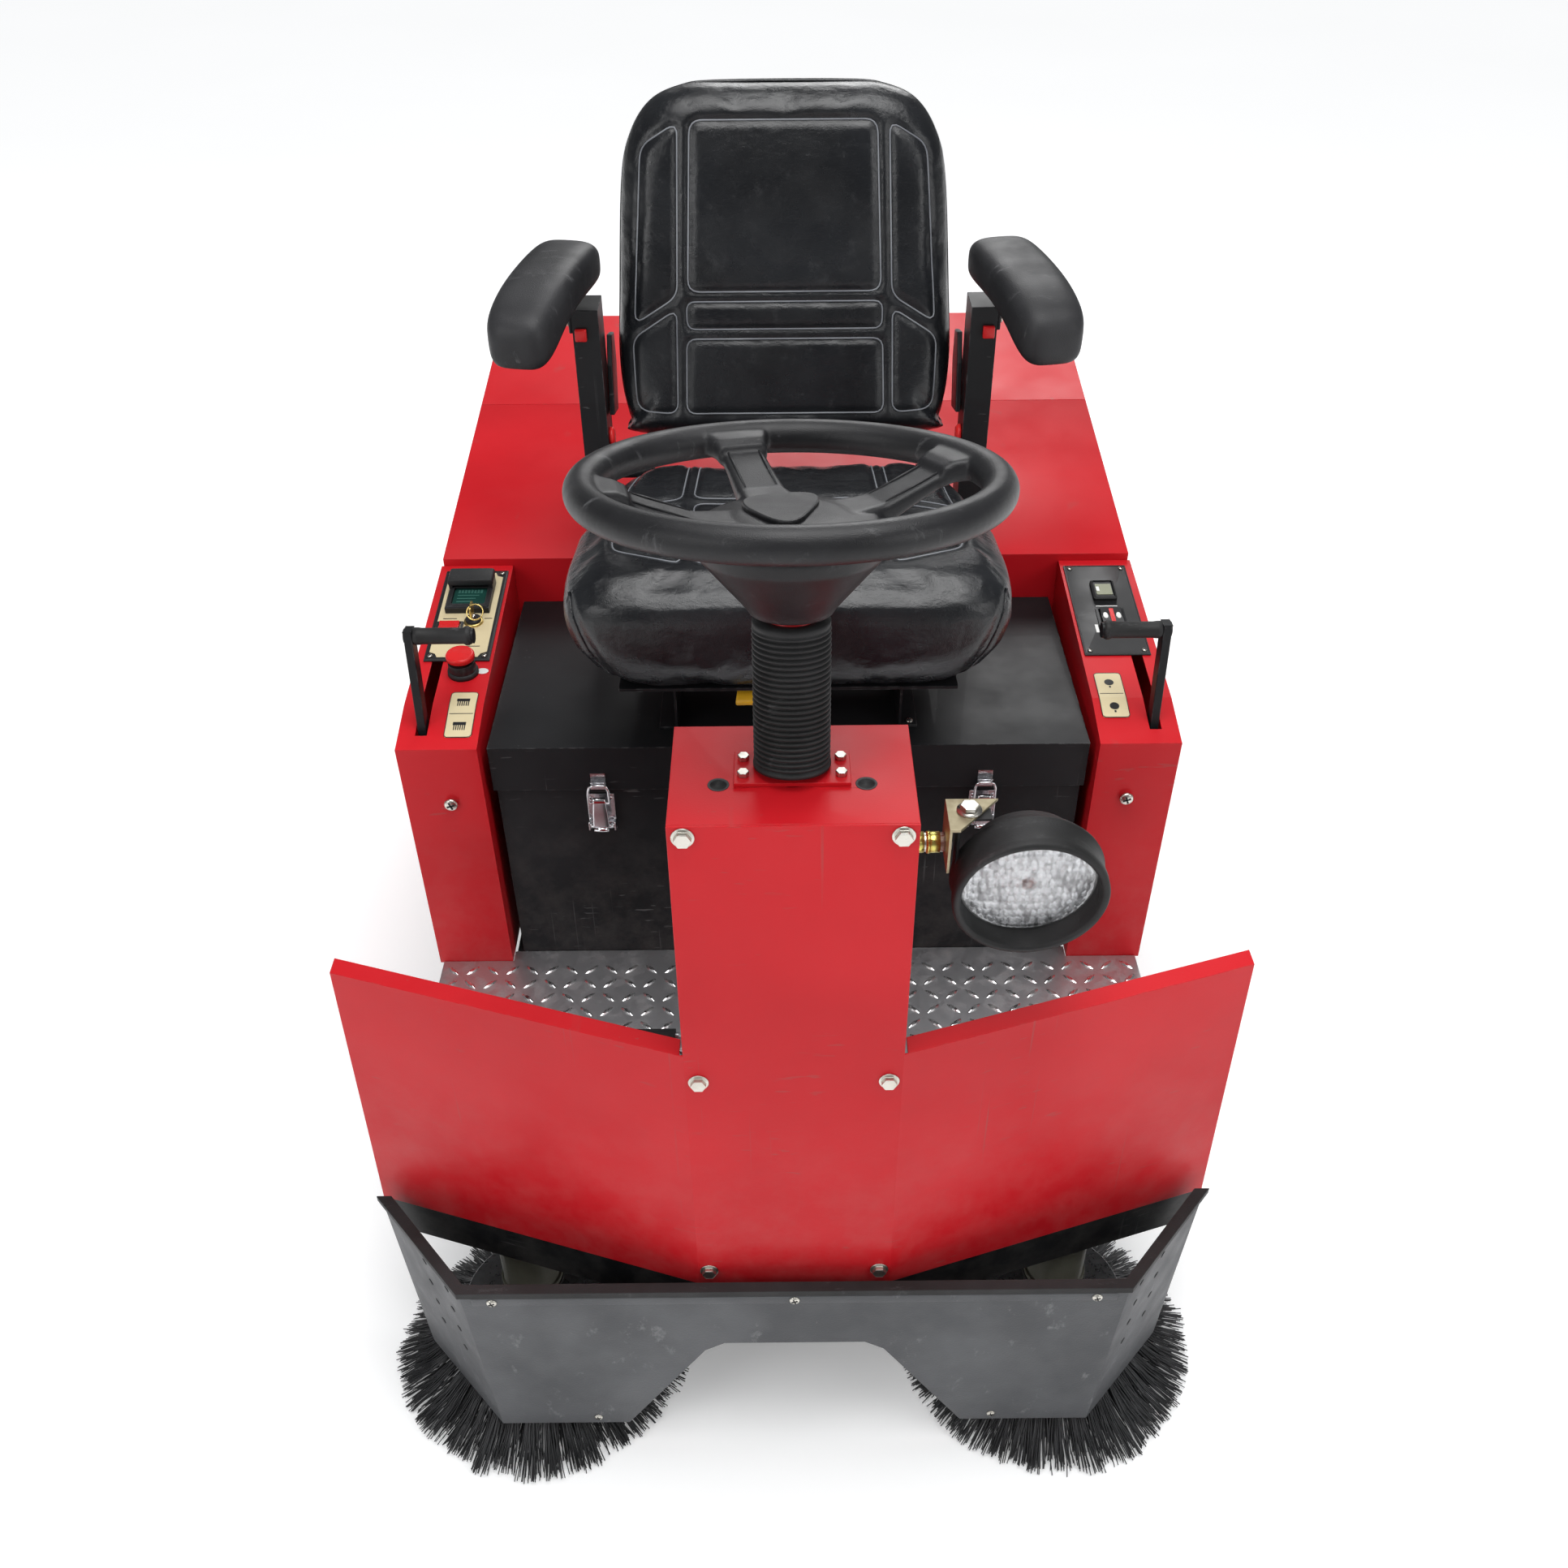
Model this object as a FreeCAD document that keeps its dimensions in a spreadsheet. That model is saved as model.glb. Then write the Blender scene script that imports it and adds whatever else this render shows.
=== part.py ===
"""Battery ride-on sweeper as a FreeCAD document: one labelled object per physical piece.

Frame: +Z up, the machine faces -Y, +X is the driver's left. The origin is on the floor under
the middle of the machine. Lengths are millimetres. Every driving dimension is a cell of the
"Sizes" sheet, and each piece is bound to those cells.
"""
import FreeCAD, Part
import math
import operator
import os
from types import SimpleNamespace

import Sketcher

Vector = FreeCAD.Vector
Rotation = FreeCAD.Rotation

# Driving dimensions. Heights are above the floor, half widths are from the centre plane.
DIMENSIONS = {
    # sheet stock and clearances
    "skin": 2.5,                 # thickness of the painted body sheets
    "running": 0.05,             # radial running clearance of a pin or shaft in its bore
    # body shell
    "console_inner": 373.0,
    "console_outer": 471.0,
    "console_front": -257.0,
    "console_bend": -182.0,
    "console_front_top": 670.0,
    "console_bend_top": 686.0,
    "console_rear_top": 715.0,
    "body_middle": 117.0,        # plane where consoles and battery box meet the rear housing
    "body_rear": 800.0,
    "body_bottom": 262.0,
    "housing_half": 468.0,
    "housing_top": 725.0,        # front edge of the housing top, which rises to the rear
    "housing_rear_top": 815.0,
    "housing_seam": 518.0,       # front edge of the hinged rear cover
    "deck_top": 325.0,
    "deck_thickness": 3.0,
    "deck_half": 466.0,
    # steering tower and wings
    "tower_half": 105.0,
    "tower_front": -751.0,
    "tower_rear": -604.0,
    "tower_top": 934.0,
    "tower_bottom": 294.0,
    "wing_end_x": 479.0,
    "wing_end_y": -627.0,
    "wing_top": 660.0,
    "wing_end_lean": 14.0,       # how far the outer end draws in from bottom to top
    "wing_flange": 20.0,
    "accessory_hole_x": 63.0,
    "accessory_hole_y": -693.0,
    "accessory_hole_radius": 6.75,
    # front skirt
    "skirt_front": -776.0,
    "skirt_rim": 311.0,
    "skirt_bottom": 47.0,
    "skirt_thickness": 4.0,
    "skirt_corner_top": 365.0,
    "skirt_corner_bottom": 351.0,
    "skirt_end_x_top": 474.0,
    "skirt_end_y_top": -646.0,
    "skirt_end_x_bottom": 455.0,
    "skirt_end_y_bottom": -660.0,
    "notch_half_bottom": 199.0,
    "notch_half_top": 101.0,
    "notch_top": 215.0,
    # frame
    "rail_inner": 330.0,
    "rail_outer": 370.0,
    "plate_bottom": 288.0,       # underside of the nose and bearing plate
    # steering
    "column_tilt": 10.4,         # degrees from vertical, leaning to the driver
    "column_foot": -673.0,       # where the column axis meets the tower top
    "column_length": 245.0,      # tower top to the centre of the wheel rim
    "rim_radius": 162.0,
    "rim_tube": 14.5,
    "bellows_length": 134.0,
    "bellows_radius": 33.0,
    "coupling_drop": 85.0,       # tower top down the axis to the flexible coupling
    "shaft_radius": 9.0,
    "fork_y": -490.0,
    "small_sprocket": 25.0,
    "large_sprocket": 75.0,
    "chain_bottom": 298.0,
    "chain_width": 6.0,
    # wheels
    "front_wheel_radius": 125.0,
    "rear_wheel_radius": 127.0,
    "rear_axle_y": 480.0,
    "axle_radius": 10.0,
    "rear_wheel_inner": 384.0,
    "rear_wheel_outer": 444.0,
    # side brooms
    "side_broom_x": 320.0,
    "side_broom_y": -637.0,
    "arm_pivot_x": 250.0,
    "arm_pivot_y": -430.0,
    "arm_pivot_z": 140.0,
    "disc_radius": 88.0,
    "bristle_reach": 190.0,
    "motor_radius": 34.0,
    # main broom
    "main_broom_y": 280.0,
    "main_broom_z": 130.0,
    "main_broom_radius": 129.0,
    "main_broom_half": 265.0,
    "main_pivot_y": 120.0,
    "main_pivot_z": 215.0,
    # levers
    "lever_x": 443.0,
    "lever_pivot_y": -240.0,
    "lever_pivot_z": 500.0,
    "lever_lean": 8.0,           # degrees
    "lever_length": 303.0,
    # battery box and lid
    "box_half": 361.0,
    "box_front": -238.0,
    "box_top": 640.0,
    "lid_half": 364.5,
    "lid_front": -243.0,
    "lid_top": 661.0,
    "lid_lip": 598.0,
    "hinge_y": 112.5,
    "hinge_z": 664.5,
    "hinge_radius": 3.5,
    "left_latch_x": 241.0,
    "right_latch_x": -234.0,
    # seat
    "stand_half": 138.0,
    "stand_front": -204.0,
    "stand_top": 726.0,
    "seat_half": 260.0,
    "seat_front": -312.0,
    "seat_rear": 60.0,
    "seat_top": 900.0,
    "pan_top": 756.0,
    "back_half": 214.0,
    "back_bottom": 908.0,
    "back_foot_y": 66.0,
    "back_length": 406.0,
    "back_lean": 14.0,           # degrees
    "bracket_inner": 222.0,
    "bracket_outer": 254.0,
    "bracket_front": 70.0,
    "bracket_rear": 125.0,
    "armrest_pivot_y": 100.0,
    "armrest_pivot_z": 1053.0,
    "armrest_rear": 118.0,
    "armrest_inner": 213.0,      # half width between the armrests at their rear ends
    "armrest_splay": 11.0,       # degrees, opening to the front
    # lamp
    "lamp_x": 215.0,
    "lamp_y": -668.0,
    "lamp_z": 813.0,
    "lamp_radius": 70.0,
    "lamp_dip": 6.0,             # degrees
    "lamp_bolt_x": 157.0,
    "lamp_spacer_z": 850.0,
    # hopper
    "hopper_half": 322.0,
    "hopper_front": 440.0,
    "hopper_top": 455.0,
    "hopper_bottom": 60.0,
}

doc = FreeCAD.newDocument("ride_on_sweeper")
sheet = doc.addObject("Spreadsheet::Sheet", "Sizes")


OPERATIONS = {"+": operator.add, "-": operator.sub, "*": operator.mul, "/": operator.truediv}


class Size:
    """A number together with the spreadsheet formula that gives it."""

    def __init__(self, value, formula):
        self.value = float(value)
        self.formula = formula

    def combine(self, other, sign, swap=False):
        first, second = self, as_size(other)
        if swap:
            first, second = second, first
        value = OPERATIONS[sign](first.value, second.value)
        return Size(value, f"({first.formula} {sign} {second.formula})")

    def __add__(self, other):
        return self.combine(other, "+")

    def __radd__(self, other):
        return self.combine(other, "+", swap=True)

    def __sub__(self, other):
        return self.combine(other, "-")

    def __rsub__(self, other):
        return self.combine(other, "-", swap=True)

    def __mul__(self, other):
        return self.combine(other, "*")

    def __rmul__(self, other):
        return self.combine(other, "*", swap=True)

    def __truediv__(self, other):
        return self.combine(other, "/")

    def __neg__(self):
        return Size(-self.value, f"(0 - {self.formula})")


def as_size(number):
    """A plain number as a Size."""
    if isinstance(number, Size):
        return number
    return Size(number, f"({float(number)})")


for row, (alias, number) in enumerate(DIMENSIONS.items(), start=1):
    sheet.set(f"A{row}", alias.replace("_", " "))
    sheet.set(f"B{row}", str(number))
    sheet.setAlias(f"B{row}", alias)
doc.recompute()
d = SimpleNamespace(**{alias: Size(number, f"Sizes.{alias}") for alias, number in DIMENSIONS.items()})
pieces = {}


# ---- construction helpers -------------------------------------------------------------------

def bind(item, name, number):
    """Drive one property of an object by a sheet formula."""
    item.setExpression(name, as_size(number).formula)


def piece(label, item):
    """Name a finished piece; its label is its node and its file."""
    item.Label = label
    pieces[label] = item
    return item


def move(item, x=0, y=0, z=0, axis=None, angle=0):
    """Place an object: turn it about a direction, then put its origin at x, y, z."""
    if axis is not None:
        item.Placement = FreeCAD.Placement(Vector(), Rotation(Vector(*axis), as_size(angle).value))
        bind(item, "Placement.Rotation.Angle", angle)
    for letter, number in zip("xyz", (x, y, z)):
        bind(item, f"Placement.Base.{letter}", number)
    return item


def box(x, y, z, name="block"):
    """A block between the low and high coordinates of each axis."""
    block = doc.addObject("Part::Box", name)
    for name, (low, high) in zip(("Length", "Width", "Height"), (x, y, z)):
        bind(block, name, as_size(high) - low)
    return move(block, x[0], y[0], z[0])


def rod(radius, along, start, end, at, name="rod"):
    """A cylinder from start to end along an axis; at holds the other two coordinates."""
    cylinder = doc.addObject("Part::Cylinder", name)
    bind(cylinder, "Radius", radius)
    bind(cylinder, "Height", as_size(end) - start)
    if along == "x":
        return move(cylinder, start, at[0], at[1], axis=(0, 1, 0), angle=90)
    if along == "y":
        return move(cylinder, at[0], start, at[1], axis=(-1, 0, 0), angle=90)
    return move(cylinder, at[0], at[1], start)


def fuse(*parts, name="joined"):
    """One solid out of parts that overlap or touch."""
    joined = doc.addObject("Part::MultiFuse", name)
    joined.Shapes = list(parts)
    return joined


def cut(base, *tools, name="cut"):
    """The base without the tools."""
    result = doc.addObject("Part::Cut", name)
    result.Base = base
    result.Tool = tools[0] if len(tools) == 1 else fuse(*tools, name="cutters")
    return result


def group(*parts, name="group"):
    """Separate solids that share one node."""
    bundle = doc.addObject("Part::Compound", name)
    bundle.Links = list(parts)
    return bundle


def ring(outer, inner, along, start, end, at, name="ring"):
    """A tube."""
    hole = rod(inner, along, as_size(start) - 1, as_size(end) + 1, at)
    return cut(rod(outer, along, start, end, at), hole, name=name)


def origin_plane(body, role):
    """One of the body's own origin planes."""
    return next(item for item in body.Origin.OriginFeatures if item.Role == role)


def polygon(sketch, outline):
    """Draw a closed outline whose corners are held by bound distances from the origin."""
    corners = [(as_size(u), as_size(v)) for u, v in outline]
    count = len(corners)
    for index, (u, v) in enumerate(corners):
        next_u, next_v = corners[(index + 1) % count]
        line = Part.LineSegment(Vector(u.value, v.value, 0), Vector(next_u.value, next_v.value, 0))
        sketch.addGeometry(line)
    for index in range(count):
        sketch.addConstraint(Sketcher.Constraint("Coincident", index, 2, (index + 1) % count, 1))
    for index, corner in enumerate(corners):
        for kind, distance in zip(("DistanceX", "DistanceY"), corner):
            rule = sketch.addConstraint(Sketcher.Constraint(kind, -1, 1, index, 1, distance.value))
            sketch.setExpression(f"Constraints[{rule}]", distance.formula)


def sketch_on(body, role, outline, offset=0):
    """A bound outline on one of the body's origin planes, moved along its normal."""
    sketch = body.newObject("Sketcher::SketchObject", "outline")
    sketch.AttachmentSupport = (origin_plane(body, role), [""])
    sketch.MapMode = "FlatFace"
    polygon(sketch, outline)
    bind(sketch, "AttachmentOffset.Base.z", offset)
    return sketch


def prism(role, outline, low, high, name="prism"):
    """An outline on XY_Plane, XZ_Plane or YZ_Plane, padded from low to high along the other axis."""
    body = doc.addObject("PartDesign::Body", name)
    offset = -as_size(high) if role == "XZ_Plane" else as_size(low)
    sketch = sketch_on(body, role, outline, offset)
    pad = body.newObject("PartDesign::Pad", "pad")
    pad.Profile = sketch
    bind(pad, "Length", as_size(high) - low)
    return body


def turned(profile, name="turned"):
    """A profile of (radius, height) corners turned about the body's Z axis."""
    body = doc.addObject("PartDesign::Body", name)
    sketch = sketch_on(body, "XZ_Plane", profile)
    turn = body.newObject("PartDesign::Revolution", "turn")
    turn.Profile = sketch
    turn.ReferenceAxis = (sketch, ["V_Axis"])
    turn.Angle = 360
    return body


def lofted(sections, name="lofted"):
    """A solid through plan outlines, each given with its height."""
    body = doc.addObject("PartDesign::Body", name)
    sketches = [sketch_on(body, "XY_Plane", outline, height) for height, outline in sections]
    loft = body.newObject("PartDesign::AdditiveLoft", "loft")
    loft.Profile = sketches[0]
    loft.Sections = sketches[1:]
    loft.Ruled = True
    return body


def sided(side, low, high):
    """A range of x on one side of the machine: side 1 is the driver's left, -1 the right."""
    return (low, high) if side > 0 else (-as_size(high), -as_size(low))


def hexagon(radius, along, start, end, at, name="hex_head"):
    """A hexagonal bolt head or nut."""
    head = doc.addObject("Part::Prism", name)
    head.Polygon = 6
    bind(head, "Circumradius", radius)
    bind(head, "Height", as_size(end) - start)
    if along == "x":
        return move(head, start, at[0], at[1], axis=(0, 1, 0), angle=90)
    if along == "y":
        return move(head, at[0], start, at[1], axis=(-1, 0, 0), angle=90)
    return move(head, at[0], at[1], start)


# ---- derived sizes --------------------------------------------------------------------------

tilt = math.radians(DIMENSIONS["column_tilt"])
lean_y = math.sin(tilt)
lean_z = math.cos(tilt)
coupling_y = d.column_foot - d.coupling_drop * lean_y
coupling_z = d.tower_top - d.coupling_drop * lean_z
wing_slope = (d.wing_end_y - d.tower_front) / (d.wing_end_x - d.tower_half)
console_slope = (d.console_rear_top - d.console_bend_top) / (d.body_middle - d.console_bend)
console_pitch = math.degrees(math.atan(console_slope.value))
housing_slope = (d.housing_rear_top - d.housing_top) / (d.body_rear - d.body_middle)
deck_bottom = d.deck_top - d.deck_thickness
plate_top = d.tower_bottom
chain_top = d.chain_bottom + d.chain_width


def console_height(y):
    """Height of the rear slope of a console top."""
    return d.console_bend_top + (y - d.console_bend) * console_slope


def housing_height(y):
    """Height of the rear housing's sloping top."""
    return d.housing_top + (as_size(y) - d.body_middle) * housing_slope


def wing_strip(inset, thickness, low, high, end_trim=0, name="strip"):
    """A wall that follows the centre plate and both swept wings, set back by inset."""
    run = 1 / math.hypot(1.0, wing_slope.value)
    front = d.tower_front + inset
    back = front + thickness
    shift = thickness * wing_slope * run
    end_x = d.wing_end_x - end_trim
    end_y = front + (end_x - d.tower_half) * wing_slope
    outer = [(-end_x, end_y), (-d.tower_half, front), (d.tower_half, front), (end_x, end_y)]
    inner = [
        (end_x - shift, end_y + thickness),
        (d.tower_half - shift, back),
        (-d.tower_half + shift, back),
        (-end_x + shift, end_y + thickness),
    ]
    return prism("XY_Plane", outer + inner, low, high, name=name)


# ---- frame and body shell -------------------------------------------------------------------

def axle_stub(side):
    """Drop plate and stub axle of one rear wheel."""
    plate_outer = d.rail_outer + 6
    plate = box(
        sided(side, d.rail_outer, plate_outer),
        (d.rear_axle_y - 40, d.rear_axle_y + 40),
        (d.rear_wheel_radius - 25, deck_bottom),
    )
    at = (d.rear_axle_y, d.rear_wheel_radius)
    stub = rod(d.axle_radius, "x", *sided(side, plate_outer - 1, d.rear_wheel_outer + 8), at)
    shoulder = rod(d.axle_radius + 6, "x", *sided(side, plate_outer - 1, d.rear_wheel_inner - 2), at)
    return [plate, stub, shoulder]


def broom_pivot(side):
    """Two lugs and the pin that carry one side broom arm."""
    lugs = []
    for inner in (-18, 10):
        x = sided(side, d.arm_pivot_x + inner, d.arm_pivot_x + inner + 8)
        y = (d.arm_pivot_y - 20, d.arm_pivot_y + 20)
        lugs.append(box(x, y, (d.arm_pivot_z - 16, d.plate_bottom + 1)))
    x = sided(side, d.arm_pivot_x - 18, d.arm_pivot_x + 18)
    lugs.append(rod(6, "x", *x, (d.arm_pivot_y, d.arm_pivot_z)))
    return lugs


def arch(y_low, y_high):
    """Posts and beam over the hopper opening."""
    parts = [box((-d.rail_outer, d.rail_outer), (y_low, y_high), (470, 510))]
    for side in (1, -1):
        parts.append(box(sided(side, 342, d.rail_outer), (y_low, y_high), (deck_bottom - 1, 471)))
    return parts


def chassis_frame():
    parts = []
    for side in (1, -1):
        parts.append(box(sided(side, d.rail_inner, d.rail_outer), (-585, 760), (262, deck_bottom)))
        parts.append(box(sided(side, 460, 466), (-612, d.body_middle), (262, deck_bottom)))
        parts.append(box(sided(side, d.rail_outer - 1, 461), (-600, -380), (300, 306)))
        parts.append(box(sided(side, d.rail_outer - 1, 461), (40, d.body_middle), (300, 306)))
        parts.append(box(sided(side, 430, 448), (-634, -598), (286, 304)))
        parts.extend(axle_stub(side))
        parts.extend(broom_pivot(side))
    parts.append(box((-d.rail_inner - 1, d.rail_inner + 1), (-600, -380), (d.plate_bottom, plate_top)))
    parts.append(box((-100, 100), (d.tower_front + 3, -599), (d.plate_bottom, plate_top)))
    parts.append(box((-60, 60), (d.skirt_front + d.skirt_thickness, d.tower_front + 4), (280, 286)))
    for y in (-585, -386):
        parts.append(box((-d.rail_inner - 1, d.rail_inner + 1), (y, y + 6), (262, deck_bottom)))
    parts.append(box((-d.rail_inner - 1, d.rail_inner + 1), (50, 90), (262, deck_bottom)))
    parts.append(wing_strip(3, 4, 236, 292, end_trim=8, name="nose_band"))
    parts.extend(arch(440, 460))
    parts.extend(arch(740, 760))
    parts.append(box((-d.rail_outer, d.rail_outer), (240, 441), (504, 510)))
    for side in (1, -1):
        parts.append(box(sided(side, 350, d.rail_outer), (240, 260), (deck_bottom - 1, 505)))
    stem_hole = rod(15 + d.running, "z", 280, 300, (0, d.fork_y))
    shaft_hole = rod(d.shaft_radius + d.running, "z", 275, 300, (0, coupling_y))
    chain_slot = box((-88, 88), (-587, -577), (plate_top, 311))
    return piece("chassis_frame", cut(fuse(*parts), stem_hole, shaft_hole, chain_slot))


def front_cover():
    """Centre plate and swept wings, one bent sheet with a flange along each wing top."""
    wall = wing_strip(0, d.skin, d.tower_bottom, d.wing_top, name="wing_wall")
    lip = wing_strip(0, d.wing_flange, d.wing_top - d.skin, d.wing_top, name="wing_lip")
    relief = box(
        (-d.tower_half - 3, d.tower_half + 3),
        (d.tower_front + d.skin, -700),
        (d.tower_bottom - 1, d.wing_top + 1),
    )
    centre = box(
        (-d.tower_half, d.tower_half),
        (d.tower_front, d.tower_front + d.skin),
        (d.tower_bottom, d.tower_top),
    )
    trims = []
    for side in (1, -1):
        corners = [
            (side * (d.wing_end_x + 1), d.tower_bottom),
            (side * (d.wing_end_x + 1), d.wing_top + 1),
            (side * (d.wing_end_x - d.wing_end_lean), d.wing_top + 1),
            (side * d.wing_end_x, d.tower_bottom),
        ]
        trims.append(prism("XZ_Plane", corners, -700, -500, name="end_trim"))
    return piece("front_cover", fuse(cut(fuse(wall, lip), relief, *trims), centre))


def steering_tower():
    """Side, rear and top sheets of the steering tower, open at the front and the bottom."""
    front = d.tower_front + d.skin
    outer = box((-d.tower_half, d.tower_half), (front, d.tower_rear), (d.tower_bottom, d.tower_top))
    hollow = box(
        (-d.tower_half + d.skin, d.tower_half - d.skin),
        (front - 1, d.tower_rear - d.skin),
        (d.tower_bottom - 1, d.tower_top - d.skin),
    )
    tools = [hollow, rod(24, "z", d.tower_top - 10, d.tower_top + 10, (0, d.column_foot))]
    tools.append(box((-88, 88), (d.tower_rear - 10, d.tower_rear + 1), (d.tower_bottom - 1, chain_top + 7)))
    for side in (1, -1):
        at = (side * d.accessory_hole_x, d.accessory_hole_y)
        hole = rod(d.accessory_hole_radius, "z", d.tower_top - 10, d.tower_top + 10, at)
        tools.append(hole)
    return piece("steering_tower", cut(outer, *tools))


def deck_plate():
    """Tread plate of the footwell, with the pedal hinge lugs and pin."""
    gap = 1
    front = d.wing_end_y + 8
    nose = d.tower_front + 12
    edge = d.tower_half + gap
    back = d.tower_rear + gap
    side_edge = d.console_front - 1
    step = d.console_inner - 1
    outline = [
        (-d.deck_half, side_edge),
        (-step, side_edge),
        (-step, d.box_front - 1),
        (step, d.box_front - 1),
        (step, side_edge),
        (d.deck_half, side_edge),
        (d.deck_half, front),
        (edge, nose),
        (edge, back),
        (-edge, back),
        (-edge, nose),
        (-d.deck_half, front),
    ]
    parts = [prism("XY_Plane", outline, deck_bottom, d.deck_top, name="tread")]
    for x in (-236, -140):
        parts.append(box((x, x + 6), (-426, -406), (d.deck_top - 1, 350)))
    parts.append(rod(4, "x", -236, -134, (-416, 341)))
    return piece("deck_plate", fuse(*parts))


def console(side, label):
    """Hollow console beside the battery box, with the lever slot and the lever's pivot pin."""
    def shell(inset):
        return [
            (d.console_front + inset, deck_bottom - inset),
            (d.console_front + inset, d.console_front_top - inset),
            (d.console_bend, d.console_bend_top - inset),
            (d.body_middle + inset, d.console_rear_top - inset),
            (d.body_middle + inset, deck_bottom - inset),
        ]
    low, high = sided(side, d.console_inner, d.console_outer)
    outer = prism("YZ_Plane", shell(as_size(0)), low, high, name="console_outer")
    hollow = prism("YZ_Plane", shell(d.skin), low + d.skin, high - d.skin, name="console_hollow")
    slot = box(sided(side, d.lever_x - 7, d.lever_x + 7), (-234, -92), (660, 720))
    pin_x = sided(side, d.console_inner + 1, d.console_outer - 1)
    pin = rod(6, "x", *pin_x, (d.lever_pivot_y, d.lever_pivot_z))
    return piece(label, fuse(cut(outer, hollow, slot), pin))


def battery_box():
    outer = box((-d.box_half, d.box_half), (d.box_front, d.body_middle - 3), (deck_bottom, d.box_top))
    hollow = box(
        (-d.box_half + d.skin, d.box_half - d.skin),
        (d.box_front + d.skin, d.body_middle - 3 - d.skin),
        (deck_bottom + d.skin, d.box_top + 1),
    )
    return piece("battery_box", cut(outer, hollow))


def batteries():
    """Four deep-cycle monoblocs side by side, each with two terminal posts."""
    width = 174
    blocks = []
    for index in range(4):
        x = -2 * 178 + 2 + index * 178
        case = box((x, x + width), (-200, 60), (327.5, 600))
        posts = [rod(8, "z", 599, 618, (x + 35, -165)), rod(8, "z", 599, 618, (x + width - 35, -165))]
        blocks.append(fuse(case, *posts, name="battery"))
    return piece("batteries", group(*blocks))


def housing_sheet(front, rear, below, above):
    """Side outline of a layer that follows the housing's sloping top."""
    return [
        (front, housing_height(front) - below),
        (front, housing_height(front) + above),
        (rear, housing_height(rear) + above),
        (rear, housing_height(rear) - below),
    ]


def rear_housing():
    """Painted shell over the broom, hopper and filter, open below and behind for the hopper."""
    skin = d.skin
    half = d.housing_half

    def shell(inset, bottom):
        front, rear = d.body_middle + inset, d.body_rear - inset
        top_front, top_rear = housing_height(front) - inset, housing_height(rear) - inset
        return [(front, bottom), (front, top_front), (rear, top_rear), (rear, bottom)]

    outer = prism("YZ_Plane", shell(as_size(0), d.body_bottom), -half, half, name="housing_outer")
    inside = shell(skin, d.body_bottom - 1)
    hollow = prism("YZ_Plane", inside, -half + skin, half - skin, name="housing_hollow")
    opening = housing_sheet(d.housing_seam, d.body_rear + 1, skin, 60)
    top = prism("YZ_Plane", opening, -half - 1, half + 1, name="cover_opening")
    mouth = box((-d.rail_inner, d.rail_inner), (d.body_rear - 10, d.body_rear + 10), (200, 468))
    runner_slots = box((-340, 340), (d.body_rear - 10, d.body_rear + 10), (320, 330))
    frame_gap = box((-466.5, 466.5), (d.body_middle - 1, d.body_middle + 20), (255, 326))
    return piece("rear_housing", cut(outer, hollow, top, mouth, runner_slots, frame_gap))


def rear_cover():
    """Hinged cover over the filter, flush with the fixed part of the housing top."""
    sheet = housing_sheet(d.housing_seam + 1, d.body_rear, d.skin, 0)
    plate = prism("YZ_Plane", sheet, -d.housing_half, d.housing_half, name="cover_plate")
    stiffener_top = housing_height(d.body_rear - 40) - 1
    stiffener = box((-440, 440), (d.body_rear - 40, d.body_rear - 37), (stiffener_top - 24, stiffener_top))
    return piece("rear_cover", fuse(plate, stiffener))


# ---- front skirt ----------------------------------------------------------------------------

def skirt_plan(top, inset):
    """Plan outline of the skirt: swept ends and a straight front, closed behind."""
    corner = d.skirt_corner_top if top else d.skirt_corner_bottom
    end_x = d.skirt_end_x_top if top else d.skirt_end_x_bottom
    end_y = d.skirt_end_y_top if top else d.skirt_end_y_bottom
    front = d.skirt_front + inset
    corner = corner - inset * 0.45
    end_x = end_x - inset * 1.35
    return [(-end_x, end_y), (-corner, front), (corner, front), (end_x, end_y)]


def front_skirt():
    """Plastic splash skirt with a lobe in front of each side broom and a notch between them."""
    low, high = d.skirt_bottom, d.skirt_rim
    outer = lofted([(low, skirt_plan(False, 0)), (high, skirt_plan(True, 0))], name="skirt_outer")
    thickness = d.skirt_thickness
    inner = lofted([(low, skirt_plan(False, thickness)), (high, skirt_plan(True, thickness))])
    corners = [
        (d.notch_half_bottom + 6, low - 10),
        (d.notch_half_top, d.notch_top - 14),
        (d.notch_half_top - 22, d.notch_top),
    ]
    outline = [(-x, z) for x, z in corners] + [(x, z) for x, z in reversed(corners)]
    notch = prism("XZ_Plane", outline, -800, -740, name="notch")
    return piece("front_skirt", cut(outer, inner, notch))


def skirt_trim():
    """Rubber edge trim that sits on the skirt rim."""
    plan_outer = skirt_plan(True, as_size(-4))
    plan_inner = skirt_plan(True, as_size(9))
    outer = prism("XY_Plane", plan_outer, d.skirt_rim, d.skirt_rim + 9, name="trim_outer")
    inner = prism("XY_Plane", plan_inner, d.skirt_rim - 1, d.skirt_rim + 10, name="trim_inner")
    return piece("skirt_trim", cut(outer, inner))


# ---- steering -------------------------------------------------------------------------------

def on_column(item):
    """Stand an object built along Z on the column's tilted axis, its origin at the tower top."""
    return move(item, 0, d.column_foot, d.tower_top, axis=(-1, 0, 0), angle=d.column_tilt)


def steering_column():
    """Column tube with its bolting flange."""
    tube = ring(20, d.shaft_radius + d.running, "z", -50, 140, (0, 0))
    on_column(tube)
    flange = box((-50, 50), (d.column_foot - 24, d.column_foot + 24), (d.tower_top, d.tower_top + 4))
    window = rod(19, "z", d.tower_top - 5, d.tower_top + 10, (0, d.column_foot))
    return piece("steering_column", fuse(cut(flange, window), tube))


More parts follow.
